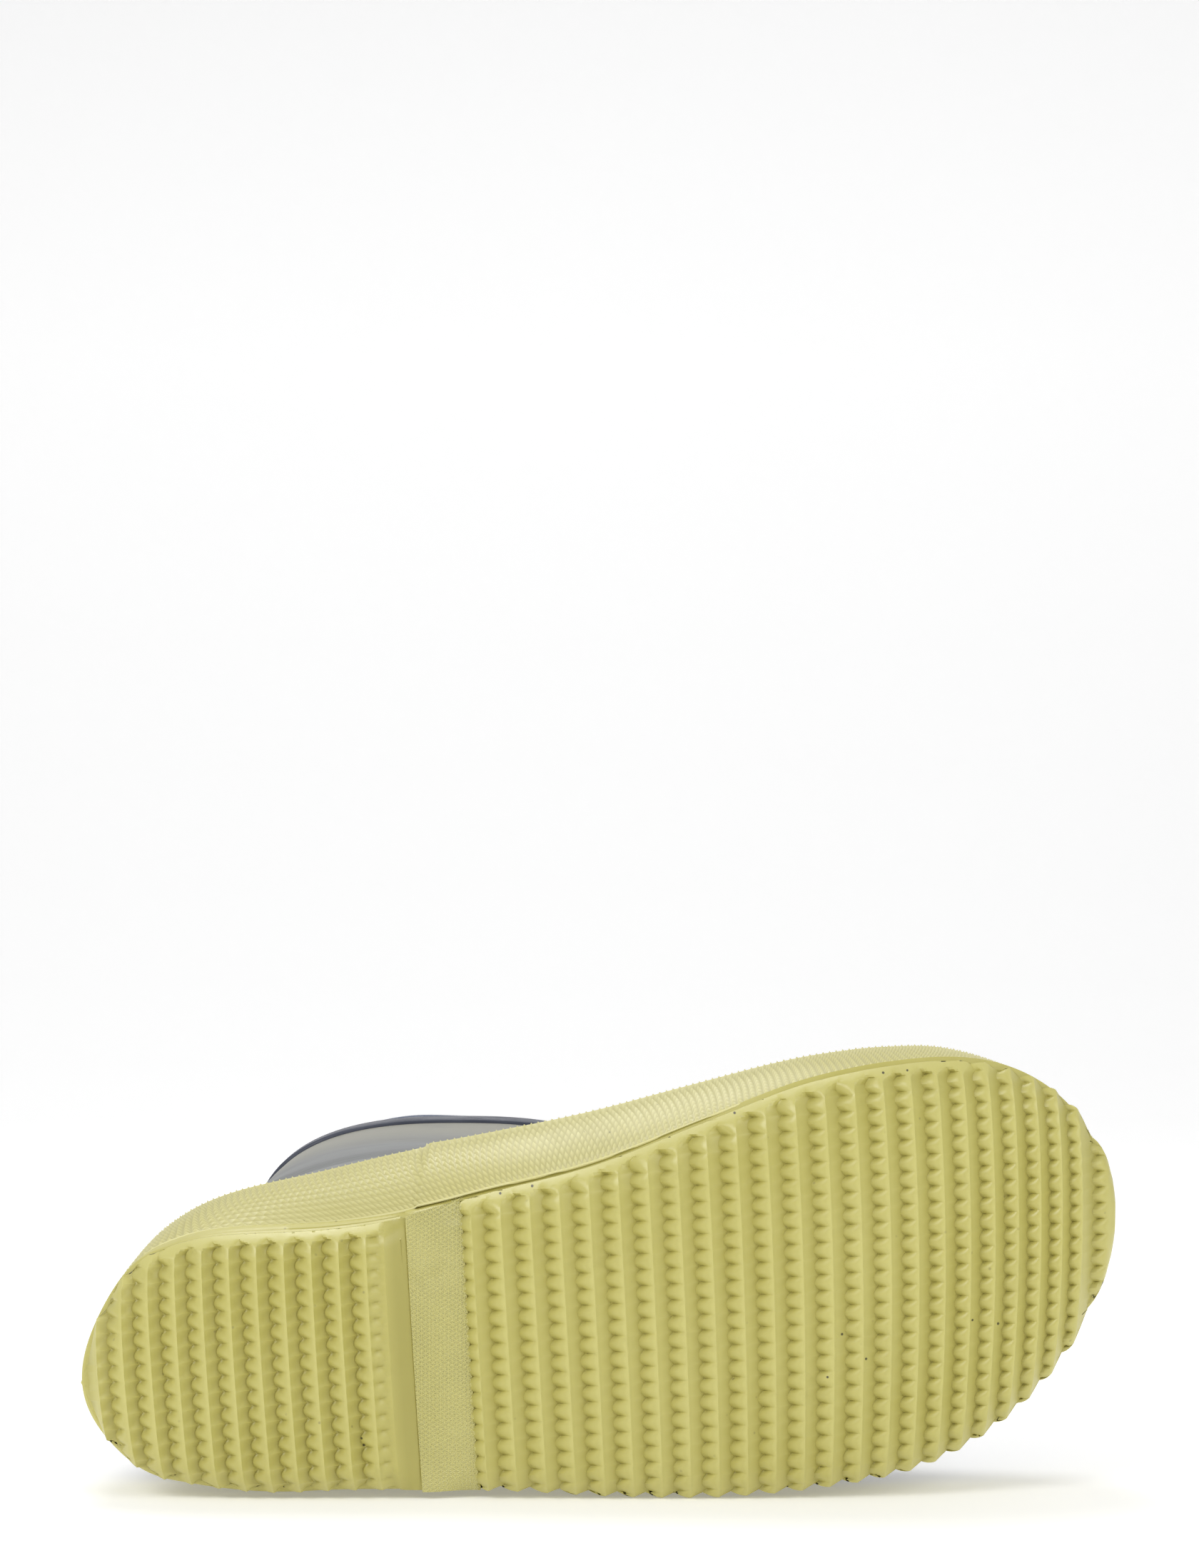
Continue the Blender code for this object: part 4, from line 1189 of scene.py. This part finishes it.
def textile(name, dark, light, scale):
    """A fine knit: wales along the leg and courses round it."""
    n = Nodes(name, dark, 0.9)
    wales = n.wave(scale, "X", n.turned((0.0, 0.0, 0.0)), 1.2)
    courses = n.wave(scale * 0.8, "Y", n.turned((0.0, 0.0, 0.0)), 1.0)
    side = n.wave(scale, "Z", n.turned((0.0, 0.0, 0.0)), 1.2)
    knit = n.math("MULTIPLY", n.math("ADD", wales, side), courses)
    fuzz = n.noise(1400.0, 4.0, 0.7)
    n.colour(n.mix(n.between(n.math("ADD", knit, fuzz), 0.4, 2.0), dark, light))
    n.shader.inputs["Sheen Weight"].default_value = 0.35
    n.shader.inputs["Sheen Roughness"].default_value = 0.5
    n.bump(knit, 0.00025, 0.7)
    n.bump(fuzz, 0.0001, 0.6)
    return n.material


def plain(name, colour, roughness, glow=0.0):
    n = Nodes(name, colour, roughness)
    n.roughness(n.between(n.noise(3.0), 0.0, 1.0, roughness - 0.02, roughness + 0.02))
    n.shader.inputs["Specular IOR Level"].default_value = 0.1
    if glow:
        n.shader.inputs["Emission Color"].default_value = (1.0, 1.0, 1.0, 1.0)
        n.shader.inputs["Emission Strength"].default_value = glow
    return n.material


def make_stage():
    """A pale floor that sweeps up into a pale backdrop."""
    profile = [(-2.2, 0.0), (1.1, 0.0)]
    for k in range(1, 9):
        angle = k * math.pi / 16
        profile.append((1.1 + 0.5 * math.sin(angle), 0.5 - 0.5 * math.cos(angle)))
    profile.append((1.6, 2.6))
    rows = [[(x, y, z - 0.00002) for x in np.linspace(-2.4, 2.4, 9)] for y, z in profile]
    points = np.array(rows).reshape(-1, 3)
    mesh = bpy.data.meshes.new("floor")
    mesh.from_pydata([tuple(p) for p in points], [], [tuple(f) for f in grid_faces(len(rows), 9)])
    mesh.shade_smooth()
    mesh.materials.append(plain("pale_floor", (0.92, 0.92, 0.92), 0.8, FLOOR_GLOW))
    floor = bpy.data.objects.new("floor", mesh)
    bpy.context.collection.objects.link(floor)


def area_light(name, place, aim, size, power):
    light = bpy.data.lights.new(name, "AREA")
    light.shape = "DISK"
    light.size = size
    light.energy = power
    thing = bpy.data.objects.new(name, light)
    thing.location = place
    thing.rotation_euler = (Vector(aim) - Vector(place)).to_track_quat("-Z", "Y").to_euler()
    bpy.context.collection.objects.link(thing)


def make_light():
    area_light("key", (-0.75, -1.0, 0.95), (0.0, -0.05, 0.04), 0.7, KEY_POWER)
    area_light("top", (-0.15, 0.45, 1.2), (0.0, 0.0, 0.0), 0.6, TOP_POWER)
    area_light("fill", (0.9, -0.9, 0.7), (0.0, -0.05, 0.04), 0.8, FILL_POWER)
    world = bpy.data.worlds.new("studio")
    world.use_nodes = True
    background = world.node_tree.nodes["Background"]
    background.inputs["Color"].default_value = (1.0, 1.0, 1.0, 1.0)
    background.inputs["Strength"].default_value = WORLD_STRENGTH
    bpy.context.scene.world = world
    bpy.context.scene.view_settings.view_transform = "Standard"


def make_camera():
    """Level, looking along +Y at the sole; the frame is shifted up, as in the photograph."""
    camera = bpy.data.cameras.new("camera")
    camera.sensor_fit = "AUTO"
    camera.sensor_width = 36.0
    camera.lens = 36.0 * CAMERA_FOCUS / FRAME_HEIGHT
    camera.shift_y = (CAMERA_HORIZON - FRAME_HEIGHT / 2) / FRAME_HEIGHT
    camera.clip_start = 0.01
    thing = bpy.data.objects.new("camera", camera)
    thing.location = (CAMERA_X, SOLE_PLANE - CAMERA_DISTANCE, CAMERA_HEIGHT)
    thing.rotation_euler = (math.pi / 2, 0.0, 0.0)
    bpy.context.collection.objects.link(thing)
    bpy.context.scene.camera = thing


def main():
    make_camera()
    make_light()
    make_stage()
    sole = lime_rubber("sole_rubber", *SOLE_LIME, 0.75)
    waist = lime_rubber("waist_rubber", *WAIST_LIME, 0.2)
    woven(waist)
    band = lime_rubber("foxing_rubber", *FOXING_LIME, 0.65)
    slate = textile("cuff_knit", *CUFF_KNIT, 420.0)
    fleece = textile("lining_knit", *LINING_KNIT, 300.0)
    felt = textile("insole_felt", *INSOLE_FELT, 500.0)
    pieces = (
        (make_outsole(sole.material, waist.material), "outsole", "lime_rubber"),
        (make_heel(sole.material), "heel", "lime_rubber"),
        (make_foxing(band.material), "foxing", "lime_rubber"),
        (make_upper(grey_rubber()), "upper", "grey_green_rubber"),
        (make_binding(navy_rubber()), "collar_binding", "navy_rubber"),
        (make_cuff(slate), "cuff", "slate_textile"),
        (make_insole(felt), "insole", "insole_felt"),
        (make_lining(fleece), None, "slate_textile"),
    )
    for piece, node, slot in pieces:
        if node:
            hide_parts(node)
        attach(piece, "root")


main()
